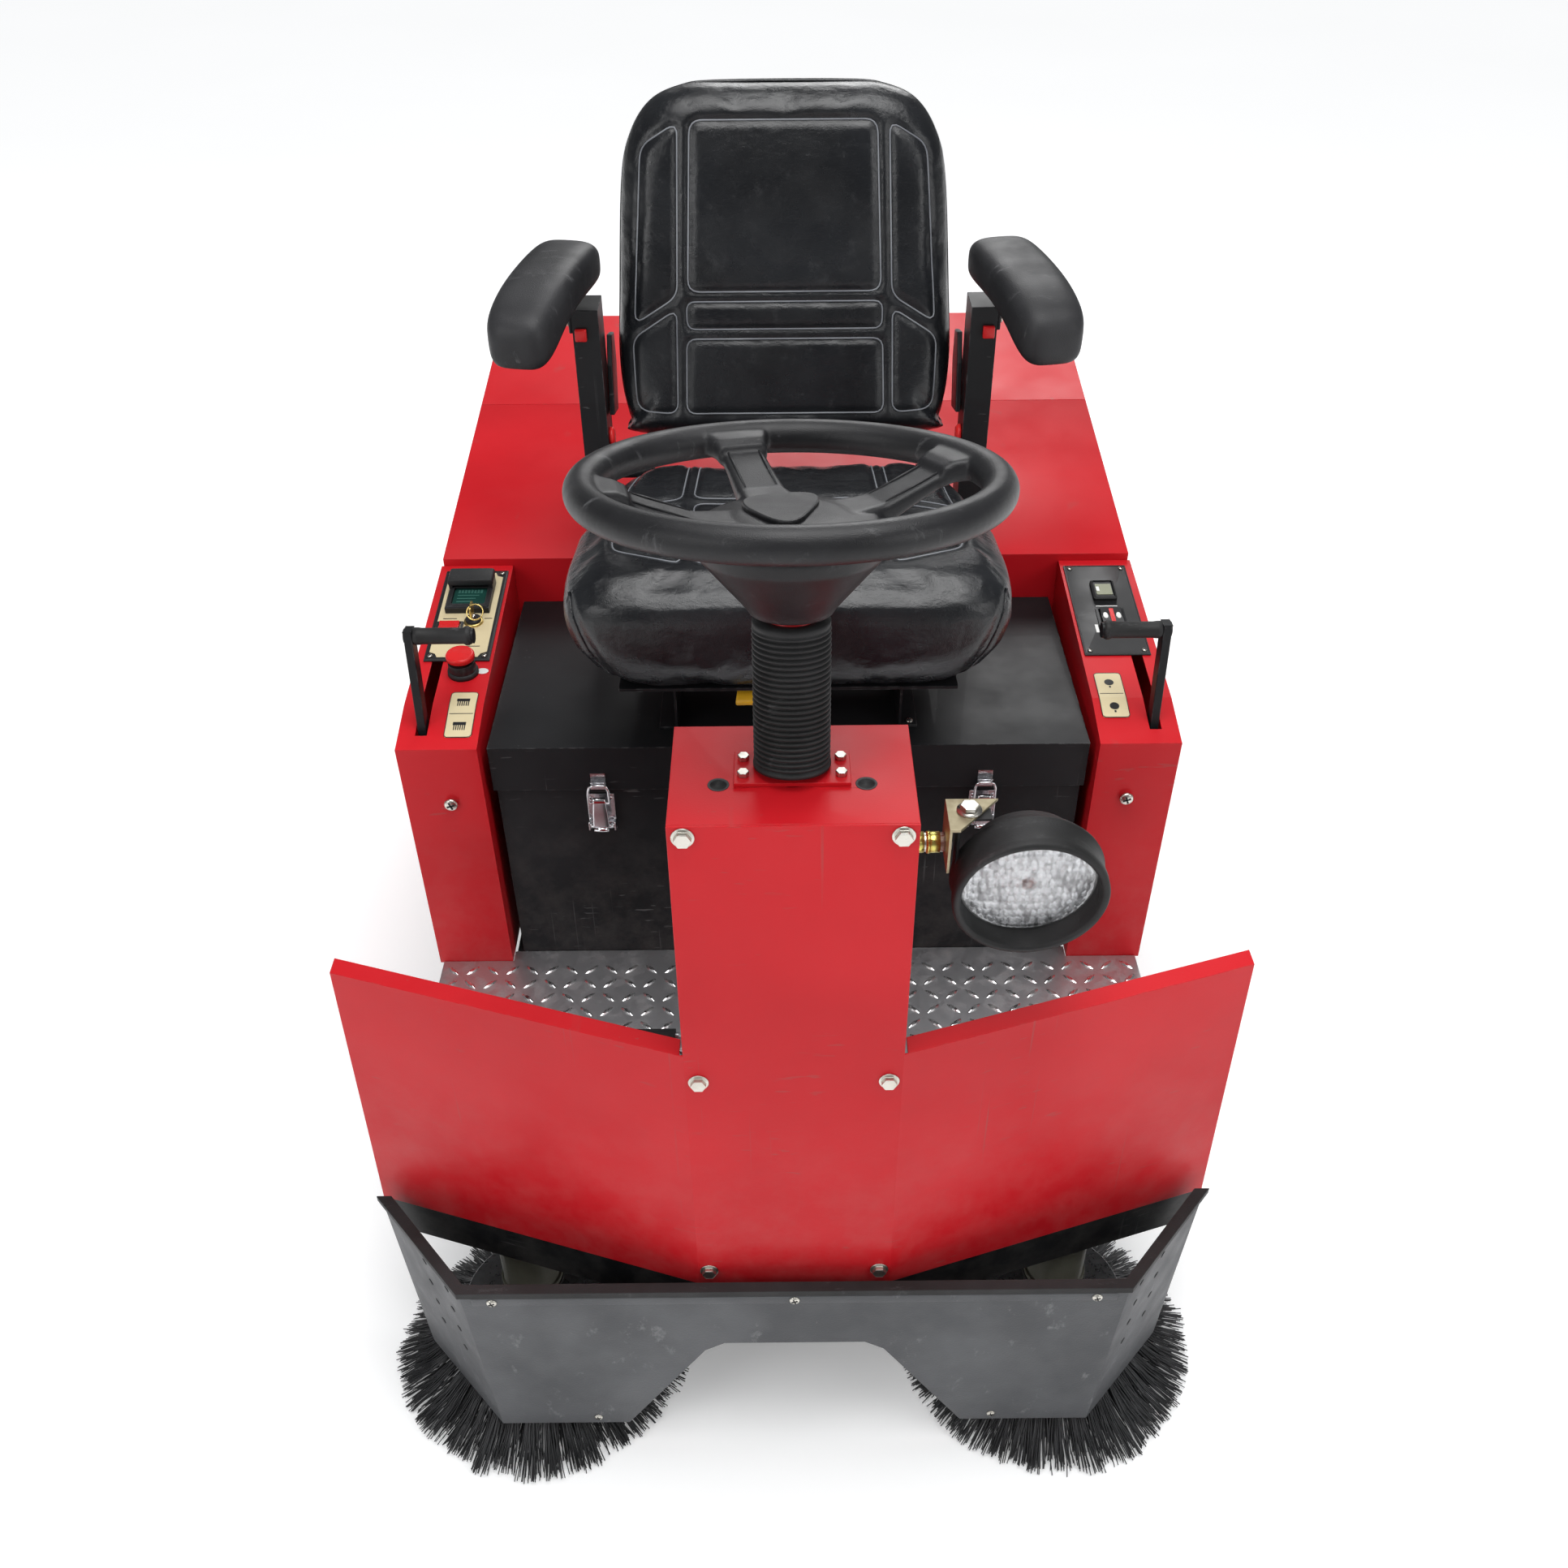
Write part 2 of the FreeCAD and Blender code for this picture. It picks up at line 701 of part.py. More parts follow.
def column_bellows():
    """Corrugated sleeve: rounded ridges turned about the column axis."""
    ridges = 24
    first = DIMENSIONS["bellows_radius"]
    pitch = (DIMENSIONS["bellows_length"] - 10) / ridges
    points = [Vector(first - 6, 0, 12), Vector(first, 0, 12)]
    for index in range(ridges):
        height = 12 + index * pitch
        points.append(Vector(first, 0, height + 0.55 * pitch))
        points.append(Vector(first - 4, 0, height + 0.7 * pitch))
        points.append(Vector(first - 4, 0, height + 0.85 * pitch))
        points.append(Vector(first, 0, height + pitch))
    points.append(Vector(first - 6, 0, points[-1].z))
    face = Part.Face(Part.makePolygon(points + points[:1]))
    sleeve = doc.addObject("Part::Feature", "sleeve")
    sleeve.Shape = face.revolve(Vector(), Vector(0, 0, 1), 360)
    return piece("column_bellows", on_column(sleeve))


def steering_wheel():
    """Rim, three spokes, hub cone and the shaft that runs down inside the column."""
    level = d.column_length
    rim = doc.addObject("Part::Torus", "rim")
    bind(rim, "Radius1", d.rim_radius)
    bind(rim, "Radius2", d.rim_tube)
    move(rim, 0, 0, level)
    hub_top = level - 22
    hub = turned(
        [
            (0, d.bellows_length + 8),
            (34, d.bellows_length + 8),
            (38, d.bellows_length + 14),
            (84, hub_top - 26),
            (84, hub_top - 8),
            (66, hub_top),
            (0, hub_top),
        ],
        name="hub",
    )
    parts = [rim, hub, rod(d.shaft_radius, "z", 7 - d.coupling_drop, level - 40, (0, 0))]
    parts.append(rod(17, "z", 3 - d.coupling_drop, 15 - d.coupling_drop, (0, 0)))
    for heading in (108, 26, 190):
        spoke = prism(
            "XZ_Plane",
            [(60, hub_top - 20), (d.rim_radius - 4, level - 7), (d.rim_radius - 4, level + 6), (60, hub_top - 4)],
            -19,
            19,
            name="spoke",
        )
        parts.append(move(spoke, axis=(0, 0, 1), angle=heading))
    return piece("steering_wheel", on_column(fuse(*parts)))


def toothed_disc(radius, teeth, at, bore_floor):
    """A sprocket: a disc with notches round its edge."""
    disc = rod(radius, "z", d.chain_bottom, chain_top, at)
    notches = []
    for index in range(teeth):
        heading = 2 * math.pi * index / teeth
        centre = (at[0] + radius * math.cos(heading), at[1] + radius * math.sin(heading))
        notches.append(rod(2.6, "z", d.chain_bottom - 1, bore_floor, centre))
    return cut(disc, *notches, name="sprocket")


def lower_shaft():
    """Upright shaft in the tower with its flexible coupling disc and the small sprocket."""
    at = (as_size(0), coupling_y)
    shaft = rod(d.shaft_radius, "z", 284, coupling_z - 12, at)
    disc = rod(21, "z", coupling_z - 24, coupling_z - 12, at)
    sprocket = toothed_disc(d.small_sprocket, 15, at, 320)
    return piece("lower_shaft", fuse(shaft, disc, sprocket))


def steering_chain():
    """Closed chain loop round both sprockets, running just clear of their teeth."""
    def loop(offset):
        near = as_size(DIMENSIONS["large_sprocket"] + offset)
        far = as_size(DIMENSIONS["small_sprocket"] + offset)
        span = (d.fork_y - coupling_y).value
        angle = math.asin((near.value - far.value) / span)
        sides = [
            (near * math.cos(angle), d.fork_y - near * math.sin(angle)),
            (far * math.cos(angle), coupling_y - far * math.sin(angle)),
        ]
        outline = sides + [(-x, y) for x, y in reversed(sides)]
        band = prism("XY_Plane", outline, d.chain_bottom, chain_top, name="chain_band")
        ends = [rod(near, "z", d.chain_bottom, chain_top, (0, d.fork_y))]
        ends.append(rod(far, "z", d.chain_bottom, chain_top, (0, coupling_y)))
        return fuse(band, *ends)
    return piece("steering_chain", cut(loop(7), loop(0.6)))


def steer_fork():
    """Fork, stem, thrust washer, wheel axle and the large sprocket."""
    y = d.fork_y
    parts = [
        rod(15, "z", 270, 318, (0, y)),
        rod(32, "z", 274, d.plate_bottom - 0.1, (0, y)),
        box((-58, 58), (y - 30, y + 30), (262, 276)),
        rod(d.axle_radius, "x", -58, 58, (y, d.front_wheel_radius)),
        toothed_disc(d.large_sprocket, 45, (as_size(0), y), 320),
        rod(22, "z", d.plate_bottom + 6.1, d.chain_bottom + 1, (0, y)),
    ]
    for side in (1, -1):
        parts.append(box(sided(side, 50, 58), (y - 26, y + 26), (100, 270)))
    return piece("steer_fork", fuse(*parts))


def drive_motor():
    """Gearmotor on the fork's left leg."""
    at = (d.fork_y, d.front_wheel_radius)
    can = rod(46, "x", 66, 136, at)
    flange = rod(52, "x", 58, 68, at)
    return piece("drive_motor", fuse(can, flange))


def wheel(radius, half_width, label, x_centre, at_y):
    """A solid tyre bonded to a dished hub, turned about the axle."""
    bore = d.axle_radius + d.running
    profile = [
        (bore, -half_width),
        (24, -half_width),
        (26, -half_width + 14),
        (radius - 42, -half_width + 16),
        (radius - 40, -half_width),
        (radius - 8, -half_width),
        (radius, -half_width + 9),
        (radius, half_width - 9),
        (radius - 8, half_width),
        (radius - 40, half_width),
        (radius - 42, half_width - 16),
        (26, half_width - 14),
        (24, half_width),
        (bore, half_width),
    ]
    body = turned(profile, name="wheel")
    return piece(label, move(body, x_centre, at_y, radius, axis=(0, 1, 0), angle=90))


# ---- brooms ---------------------------------------------------------------------------------

def side_broom(side, name):
    """Arm, motor, disc and bristles of one side broom."""
    x, y = side * d.side_broom_x, d.side_broom_y
    pivot_x, pivot_y, pivot_z = side * d.arm_pivot_x, d.arm_pivot_y, d.arm_pivot_z
    plate_low, plate_high = pivot_z + 6, pivot_z + 14
    outline = [
        (pivot_x - side * 9.5, pivot_y + 12),
        (pivot_x + side * 9.5, pivot_y + 12),
        (pivot_x + side * 9.5, pivot_y - 24),
        (x + side * 30, y + 20),
        (x - side * 30, y + 4),
        (pivot_x - side * 9.5, pivot_y - 24),
    ]
    arm = prism("XY_Plane", outline, plate_low, plate_high, name="arm_plate")
    hub = rod(13, "x", *sided(side, d.arm_pivot_x - 9.5, d.arm_pivot_x + 9.5), (pivot_y, pivot_z))
    bore = rod(6 + d.running, "x", *sided(side, d.arm_pivot_x - 20, d.arm_pivot_x + 20), (pivot_y, pivot_z))
    shaft_bore = rod(8 + d.running, "z", plate_low - 5, plate_high + 5, (x, y))
    seat = rod(d.motor_radius + 4, "z", plate_low, plate_high, (x, y))
    piece(f"{name}_broom_arm", cut(fuse(arm, hub, seat), bore, shaft_bore))
    can = rod(d.motor_radius, "z", plate_high + 6, 226, (x, y))
    foot = rod(d.motor_radius + 3, "z", plate_high, plate_high + 7, (x, y))
    motor_bore = rod(8 + d.running, "z", plate_high - 5, plate_high + 25, (x, y))
    piece(f"{name}_broom_motor", cut(fuse(can, foot), motor_bore))
    disc = rod(d.disc_radius, "z", 100, 110, (x, y))
    boss = rod(20, "z", 109, plate_low - 4, (x, y))
    shaft = rod(8, "z", 110, plate_high + 22, (x, y))
    piece(f"{name}_broom_disc", fuse(disc, boss, shaft))
    bristles = turned(
        [
            (52, 100),
            (d.disc_radius, 100),
            (99, 62),
            (104, 45),
            (150, 20),
            (d.bristle_reach, 7),
            (d.bristle_reach, 1),
            (118, 1),
        ],
        name="bristles",
    )
    piece(f"{name}_bristles", move(bristles, x, y, 0))


def main_broom_arms():
    """Lift frame of the main broom: two arms joined by a torque tube that turns on its ends."""
    pivot = (d.main_pivot_y, d.main_pivot_z)
    centre = (d.main_broom_y, d.main_broom_z)
    parts = [rod(14, "x", -300, 300, pivot)]
    drop = d.main_pivot_z - d.main_broom_z
    outline = [
        (pivot[0] - 12, pivot[1] + 6),
        (pivot[0] + 8, pivot[1] + 14),
        (centre[0] + 20, centre[1] + 14),
        (centre[0] + 20, centre[1] - 14),
        (pivot[0] + 8, centre[1] + drop * 0.7),
    ]
    for side in (1, -1):
        parts.append(prism("YZ_Plane", outline, *sided(side, 276, 284), name="arm"))
    bores = [rod(12 + d.running, "x", -290, 290, centre)]
    bores += [rod(6 + d.running, "x", *sided(side, 280, 302), pivot) for side in (1, -1)]
    return piece("main_broom_arms", cut(fuse(*parts), *bores))


def main_broom():
    """Cylindrical broom: a full-width bristle drum on a shaft."""
    half = d.main_broom_half
    profile = [
        (0, -half - 19),
        (12, -half - 19),
        (12, -half),
        (d.main_broom_radius, -half),
        (d.main_broom_radius, half),
        (12, half),
        (12, half + 19),
        (0, half + 19),
    ]
    drum = turned(profile, name="drum")
    place = (d.main_broom_y, d.main_broom_z)
    return piece("main_broom", move(drum, 0, *place, axis=(0, 1, 0), angle=90))


def broom_housing():
    """Sheet hood over the main broom with the pins its lift frame turns on."""
    outer = box((-326, 326), (94, 436), (40, 320))
    hollow = box((-323, 323), (97, 437), (39, 317))
    wall = cut(outer, hollow)
    pins = [rod(6, "x", *sided(side, 285, 324), (d.main_pivot_y, d.main_pivot_z)) for side in (1, -1)]
    return piece("broom_housing", fuse(wall, *pins))


# ---- hopper and filter ----------------------------------------------------------------------

def debris_hopper():
    """Sliding dust bin with hanging flanges, a rear panel and a pull handle."""
    half, front = d.hopper_half, d.hopper_front
    outer = box((-half, half), (front, d.body_rear - 3), (d.hopper_bottom, d.hopper_top))
    hollow = box((-half + 3, half - 3), (front + 3, d.body_rear - 6), (d.hopper_bottom + 3, 500))
    inlet = box((-half + 3, half - 3), (front - 5, front + 10), (150, 500))
    bin_walls = cut(outer, hollow, inlet)
    parts = [bin_walls, box((-328, 328), (d.body_rear - 3.5, d.body_rear + 3), (d.hopper_bottom, 466))]
    for side in (1, -1):
        x = sided(side, half - 1, 338)
        parts.append(box(x, (front + 10, d.body_rear - 12), (deck_bottom + 0.5, deck_bottom + 6)))
        x = sided(side, 92, 104)
        parts.append(box(x, (d.body_rear + 2, d.body_rear + 24), (380, 396)))
    parts.append(rod(7, "x", -104, 104, (d.body_rear + 19, 388)))
    return piece("debris_hopper", fuse(*parts))


def dust_filter():
    """Pleated panel filter in a tray above the hopper."""
    block = box((-300, 300), (464, 736), (510, 570))
    pleats = [box((-284 + 24 * i, -272 + 24 * i), (480, 720), (525, 571)) for i in range(24)]
    lip = box((-310, 310), (445, 755), (510, 514))
    return piece("dust_filter", cut(fuse(block, lip), *pleats))


def vacuum_fan():
    """Sealed suction fan: scroll housing, motor and outlet."""
    scroll = rod(100, "z", 510, 570, (0, 330))
    motor = rod(55, "z", 569, 650, (0, 330))
    outlet = box((0, 130), (230, 290), (510, 570))
    return piece("vacuum_fan", fuse(scroll, motor, outlet))


# ---- controls -------------------------------------------------------------------------------

def on_console(item, x, y):
    """Stand an object on the sloping top of a console."""
    return move(item, x, y, console_height(as_size(y)), axis=(1, 0, 0), angle=console_pitch)


def control_panels():
    """The two instrument plates on the console tops."""
    plates = []
    for side in (1, -1):
        plate = box((-42, 42), (0, 200), (0.2, 2.2), name="panel")
        whole = fuse(plate, box((-40, 40), (2, 198), (0.2, 2.4)))
        plates.append(on_console(whole, side * 419, -98))
    return piece("control_panels", group(*plates))


def instruments():
    """Hooded gauge, hour meter, stop button collar and key barrel: separate solids."""
    case = fuse(box((-29, 29), (0, 70), (2.4, 11)), box((-29, 29), (44, 70), (2.4, 22)))
    recess = box((-23, 23), (8, 56), (7, 12))
    brow_hollow = box((-24, 24), (38, 63), (10, 18.5))
    gauge = on_console(cut(case, recess, brow_hollow), -419, 2)
    meter_body = fuse(box((-13, 13), (0, 38), (2.4, 7)), box((-12, 12), (1, 37), (2.4, 8)))
    meter = on_console(meter_body, 421, 18)
    collar = on_console(ring(17, 8 + d.running, "z", 0.2, 18, (0, 0)), -407, -120)
    barrel = on_console(ring(10, 4.05, "z", 2.4, 9, (0, 0)), -408, -17)
    return piece("instruments", group(gauge, meter, collar, barrel))


def stop_button():
    """Mushroom head on a plunger."""
    head = turned([(0, 5), (7.9, 5), (7.9, 23), (18, 23), (18, 28), (16, 30), (0, 31)], name="mushroom")
    return piece("stop_button", on_console(head, -407, -120))


def ignition_key():
    """Key with a round plug in the barrel and a flat bow."""
    plug = rod(4, "z", 3, 12, (0, 0))
    bow = box((-1.2, 1.2), (-11, 11), (11, 32))
    return piece("ignition_key", on_console(fuse(plug, bow), -408, -17))


def rocker(label, x, y, width, depth):
    """A rocker switch: a shallow wedge-topped block on its panel."""
    outline = [(-depth / 2, 4.5), (depth / 2, 4.5), (depth / 2, 9), (0, 7.5), (-depth / 2, 9)]
    block = prism("YZ_Plane", outline, -width / 2, width / 2, name="rocker")
    return piece(label, on_console(block, x, y))


def lever(side, label):
    """Flat lift lever with a round hand grip that points inboard."""
    bar = box((-5, 5), (-10, 10), (-8, d.lever_length))
    grip_x = (-76, 6) if side > 0 else (-6, 76)
    grip = rod(9, "x", *grip_x, (0, d.lever_length - 9))
    bore = rod(6 + d.running, "x", -10, 10, (0, 0))
    whole = cut(fuse(bar, grip), bore)
    place = (side * d.lever_x, d.lever_pivot_y, d.lever_pivot_z)
    return piece(label, move(whole, *place, axis=(-1, 0, 0), angle=d.lever_lean))


def drive_pedal():
    """Treadle hinged at the heel, rising to the toe."""
    tread = box((-40, 40), (-168, 8), (2, 7))
    pedal = cut(fuse(tread, rod(8, "x", -38, 38, (0, 0))), rod(4 + d.running, "x", -50, 50, (0, 0)))
    return piece("drive_pedal", move(pedal, -185, -416, 341, axis=(-1, 0, 0), angle=28))


# ---- lid and seat ---------------------------------------------------------------------------

def battery_lid():
    """Lid skirted on three sides, with hinge knuckles behind and a latch keeper each side."""
    half, rear = d.lid_half, d.body_middle - 3
    outer = box((-half, half), (d.lid_front, rear), (d.lid_lip, d.lid_top))
    hollow = box(
        (-half + d.skin, half - d.skin),
        (d.lid_front + d.skin, rear + 1),
        (d.lid_lip - 1, d.lid_top - d.skin),
    )
    parts = [cut(outer, hollow)]
    for low in (-300, -60, 180):
        parts.append(rod(d.hinge_radius, "x", low, low + 120, (d.hinge_y, d.hinge_z)))
    for x in (d.left_latch_x, d.right_latch_x):
        parts.append(box((x - 9, x + 9), (d.lid_front - 6.5, d.lid_front + 1), (600, 606)))
    return piece("battery_lid", fuse(*parts))


def latch_bases():
    """Toggle latch base plates with their pivot pins, screwed to the battery box."""
    bases = []
    for x in (d.left_latch_x, d.right_latch_x):
        plate = box((x - 17, x + 17), (d.box_front - 2, d.box_front - 0.1), (536, 590))
        parts = [plate, rod(2, "x", x - 17, x + 17, (d.box_front - 9, 546))]
        for offset in (-17, 15):
            parts.append(box((x + offset, x + offset + 2), (d.box_front - 12, d.box_front - 1), (540, 552)))
        bases.append(fuse(*parts))
    return piece("latch_bases", group(*bases))


def latch_lever(x, label):
    """Latch body that swings outward about its lower pin and carries the hook bail."""
    front = d.lid_front
    knuckle = ring(4, 2 + d.running, "x", x - 13, x + 13, (d.box_front - 9, 546))
    parts = [knuckle, box((x - 9, x + 9), (front - 14, front - 9.2), (548, 592))]
    parts.append(box((x - 4, x + 4), (front - 14, front - 8), (541, 549)))
    for offset in (-15, 12):
        parts.append(box((x + offset, x + offset + 3), (front - 13, front - 9.5), (585, 613)))
    parts.append(box((x - 15, x + 15), (front - 13, front - 9.5), (584, 588)))
    parts.append(box((x - 15, x + 15), (front - 13, front - 9.5), (610, 613)))
    return piece(label, fuse(*parts))


def seat_stand():
    """Open-fronted sheet stand on the lid with the two lower seat rails."""
    half, top = d.stand_half, d.stand_top
    outer = box((-half, half), (d.stand_front, 30), (d.lid_top, top))
    hollow = box((-half + 3, half - 3), (d.stand_front - 1, 31), (d.lid_top - 1, top - 3))
    parts = [cut(outer, hollow)]
    for side in (1, -1):
        foot = box(sided(side, half - 1, half + 20), (d.stand_front, 30), (d.lid_top, d.lid_top + 3))
        parts.append(foot)
        parts.append(box(sided(side, 103, 117), (-190, 30), (top - 1, top + 12)))
    return piece("seat_stand", fuse(*parts))


def seat_frame():
    """Upper slides, seat pan and the two armrest columns."""
    top = d.stand_top
    parts = [box((-196, 196), (-262, 60), (d.pan_top - 4, d.pan_top))]
    parts.append(box((-d.bracket_outer, d.bracket_outer), (61, 95), (d.pan_top - 10, d.pan_top)))
    parts.append(box((-190, 190), (50, 70), (d.pan_top - 10, d.pan_top)))
    for side in (1, -1):
        channel = box(sided(side, 98, 122), (-190, 50), (top + 2, d.pan_top - 3))
        groove = box(sided(side, 102.5, 117.5), (-200, 60), (top, top + 12.5))
        parts.append(cut(channel, groove))
        column = [
            (d.bracket_front, d.pan_top - 10),
            (as_size(95), d.pan_top - 10),
            (d.bracket_rear, d.pan_top + 44),
            (d.bracket_rear, d.armrest_pivot_z + 18),
            (d.bracket_front, d.armrest_pivot_z + 18),
        ]
        parts.append(prism("YZ_Plane", column, *sided(side, d.bracket_inner, d.bracket_outer), name="column"))
        pin_x = sided(side, d.bracket_outer - 5, d.bracket_outer + 8)
        pin = rod(7, "x", *pin_x, (d.armrest_pivot_y, d.armrest_pivot_z))
        parts.append(pin)
        pivot = (d.bracket_front + 20, 860)
        parts.append(rod(7, "x", *sided(side, 168, d.bracket_inner + 2), pivot))
    return piece("seat_frame", fuse(*parts))


def seat_cushion():
    """Crowned seat pad, narrower below and behind."""
    rear_half = d.bracket_inner - 10
    front, rear = d.seat_front, d.seat_rear

    def plan(front_half, back_half, front_y, back_y):
        step = 60
        return [
            (-back_half, back_y),
            (-front_half, back_y - step),
            (-front_half, front_y + step),
            (-front_half + 46, front_y),
            (front_half - 46, front_y),
            (front_half, front_y + step),
            (front_half, back_y - step),
            (back_half, back_y),
        ]

    pad = lofted(
        [
            (d.pan_top + 0.5, plan(d.seat_half - 58, rear_half - 22, front + 52, rear - 8)),
            (d.pan_top + 28, plan(d.seat_half - 30, rear_half - 8, front + 22, rear - 4)),
            (d.seat_top - 42, plan(d.seat_half, rear_half, front, rear)),
            (d.seat_top - 14, plan(d.seat_half - 14, rear_half - 6, front + 10, rear - 4)),
            (d.seat_top, plan(d.seat_half - 44, rear_half - 30, front + 44, rear - 24)),
        ],
        name="seat_pad",
    )
    return piece("seat_cushion", pad)


def back_outline(inset):
    """Front outline of the backrest above its foot, rounded at the top by short chords."""
    half, length = d.back_half - inset, d.back_length - inset
    right = [
        (half - 34, as_size(inset)),
        (half - 6, as_size(inset) + 40),
        (half, as_size(110)),
        (half - 14, length - 110),
        (half - 26, length - 56),
        (half - 48, length - 22),
        (half - 84, length - 4),
        (half - 130, length),
    ]
    return right + [(-x, z) for x, z in reversed(right)]


def lean_back(item):
    """Stand a backrest part, built upright from its foot, at the backrest's lean."""
    return move(item, 0, d.back_foot_y, d.back_bottom, axis=(-1, 0, 0), angle=d.back_lean)


def backrest_cushion():
    """Backrest pad: a thick middle layer between two thinner, smaller ones."""
    layers = [
        prism("XZ_Plane", back_outline(26), 0, 12),
        prism("XZ_Plane", back_outline(8), 11, 28),
        prism("XZ_Plane", back_outline(0), 27, 62),
    ]
    return piece("backrest_cushion", lean_back(fuse(*layers)))


def backrest_frame():
    """Moulded rear shell of the backrest and the two straps down to the recline pivot."""
    shell = lean_back(prism("XZ_Plane", back_outline(24), 62.5, 84, name="back_shell"))
    straps = []
    for side in (1, -1):
        x = sided(side, 172, 178)
        outline = [
            (76, 846),
            (106, 846),
            (152, 888),
            (168, 960),
            (180, 1010),
            (157, 1010),
            (144.8, 960),
            (128, 889),
            (98, 876),
            (76, 872),
        ]
        straps.append(prism("YZ_Plane", outline, *x, name="strap"))
    bore = rod(7 + d.running, "x", -220, 220, (d.bracket_front + 20, 860))
    return piece("backrest_frame", cut(fuse(shell, *straps), bore))


def armrest(side, label):
    """Moulded armrest on a side plate that pivots on the seat frame's column."""
    pivot_z = d.armrest_pivot_z
    profile = [
        (116, 40),
        (118, 80),
        (104, 89),
        (-24, 85),
        (-74, 74),
        (-104, 54),
        (-116, 30),
        (-112, 12),
        (-92, 8),
        (-60, 24),
        (-14, 36),
    ]
    outline = [(y - d.armrest_rear, pivot_z + height) for y, height in profile]
    pad = prism("YZ_Plane", outline, *sided(side, 0, 80), name="arm_pad")
    move(pad, side * d.armrest_inner, d.armrest_rear, 0, axis=(0, 0, 1), angle=side * d.armrest_splay)
    plate_x = sided(side, d.bracket_outer + 1, d.bracket_outer + 6)
    plate = box(plate_x, (84, 114), (pivot_z - 14, pivot_z + 44))
    bore_x = sided(side, d.bracket_outer - 5, d.bracket_outer + 15)
    bore = rod(7 + d.running, "x", *bore_x, (d.armrest_pivot_y, pivot_z))
    return piece(label, cut(fuse(pad, plate), bore))


# ---- lamp and fasteners ---------------------------------------------------------------------

def lamp_bracket():
    """Angle bracket on the spacer bolt with an ear over the lamp."""
    y, z = d.lamp_y, d.lamp_spacer_z
    x = as_size(137)
    ear_z = z + 32
    plate = box((x, x + 3), (y - 28, y + 18), (z - 14, ear_z + 3))
    corner_cut = [(x, y - 28), (x + 10, y - 28), (x + 48, y + 18), (x, y + 18)]
    ear = prism("XY_Plane", corner_cut, ear_z, ear_z + 3, name="bracket_ear")
    bores = [rod(5 + d.running, "x", x - 5, x + 10, (y, z))]
    bores.append(rod(4 + d.running, "z", ear_z - 5, ear_z + 10, (d.lamp_bolt_x, y)))
    return piece("lamp_bracket", cut(fuse(plate, ear), *bores))


def aim_lamp(item):
    """Turn an object built along +Z so that it points forward and slightly down."""
    return move(item, d.lamp_x, d.lamp_y, d.lamp_z, axis=(1, 0, 0), angle=90 + d.lamp_dip)


def lamp_housing():
    """Rubber lamp body with its hood, strap and swivel bolt."""
    radius = d.lamp_radius
    shell = turned(
        [
            (0, -44),
            (26, -42),
            (52, -28),
            (radius - 5, -6),
            (radius, 6),
            (radius, 34),
            (radius - 5, 34),
            (radius - 7, 8),
            (0, 8),
        ],
        name="lamp_shell",
    )
    x, y = d.lamp_bolt_x, d.lamp_y
    ear_z = d.lamp_spacer_z + 32
    parts = [aim_lamp(shell)]
    parts.append(box((x - 10, x + 20), (y - 8, y + 8), (ear_z - 3.2, ear_z - 0.2)))
    parts.append(box((x - 10, x - 7), (y - 8, y + 8), (d.lamp_z - 10, ear_z - 0.2)))
    parts.append(rod(4, "z", ear_z - 3, ear_z + 4, (x, y)))
    parts.append(hexagon(8, "z", ear_z + 3.2, ear_z + 8, (x, y)))
    return piece("lamp_housing", fuse(*parts))


def lamp_lens():
    """Bulged glass lens set back inside the hood."""
    radius = d.lamp_radius - 8
    lens = turned([(0, 8.5), (radius, 8.5), (radius, 13), (40, 19), (20, 22), (0, 23)], name="lens")
    return piece("lamp_lens", aim_lamp(lens))


def cover_bolts():
    """Fasteners seen from outside and the lamp's spacer bolt, as separate solids."""
    front = d.tower_front
    heads = []
    for height, x in ((923, 91.5), (624, 91.5), (319, 93)):
        for side in (1, -1):
            washer = rod(10, "y", front - 1.6, front - 0.1, (side * x, height))
            heads.append(fuse(washer, hexagon(7.8, "y", front - 6.5, front - 1.5, (side * x, height))))
    for side in (1, -1):
        heads.append(rod(6.5, "y", d.console_front - 4, d.console_front - 0.1, (side * 415, 591)))
        for y in (-12, 12):
            nut_at = (side * 42, d.column_foot + y)
            heads.append(hexagon(5.4, "z", d.tower_top + 4.1, d.tower_top + 8.5, nut_at))
    spacer = rod(9, "x", d.tower_half + 0.1, 136.9, (d.lamp_y, d.lamp_spacer_z))
    bolt = rod(5, "x", 136, 141, (d.lamp_y, d.lamp_spacer_z))
    heads.append(fuse(spacer, bolt, hexagon(8, "x", 140.5, 143.5, (d.lamp_y, d.lamp_spacer_z))))
    return piece("cover_bolts", group(*heads))


# ---- build ----------------------------------------------------------------------------------

chassis_frame()
front_cover()
steering_tower()
deck_plate()
console(1, "left_console")
console(-1, "right_console")
battery_box()
batteries()
rear_housing()
rear_cover()
front_skirt()
skirt_trim()
steering_column()
column_bellows()
steering_wheel()
lower_shaft()
steering_chain()
steer_fork()
drive_motor()
wheel(d.front_wheel_radius, 40, "front_wheel", 0, d.fork_y)
rear_half = (d.rear_wheel_outer - d.rear_wheel_inner) / 2
rear_x = (d.rear_wheel_outer + d.rear_wheel_inner) / 2
wheel(d.rear_wheel_radius, rear_half, "left_rear_wheel", rear_x, d.rear_axle_y)
wheel(d.rear_wheel_radius, rear_half, "right_rear_wheel", -rear_x, d.rear_axle_y)
side_broom(1, "left")
side_broom(-1, "right")
main_broom_arms()
main_broom()
broom_housing()
debris_hopper()
dust_filter()
vacuum_fan()
control_panels()
instruments()
stop_button()
ignition_key()
rocker("light_switch", -438, -30, 26, 16)
rocker("horn_switch", 423, -22, 28, 34)
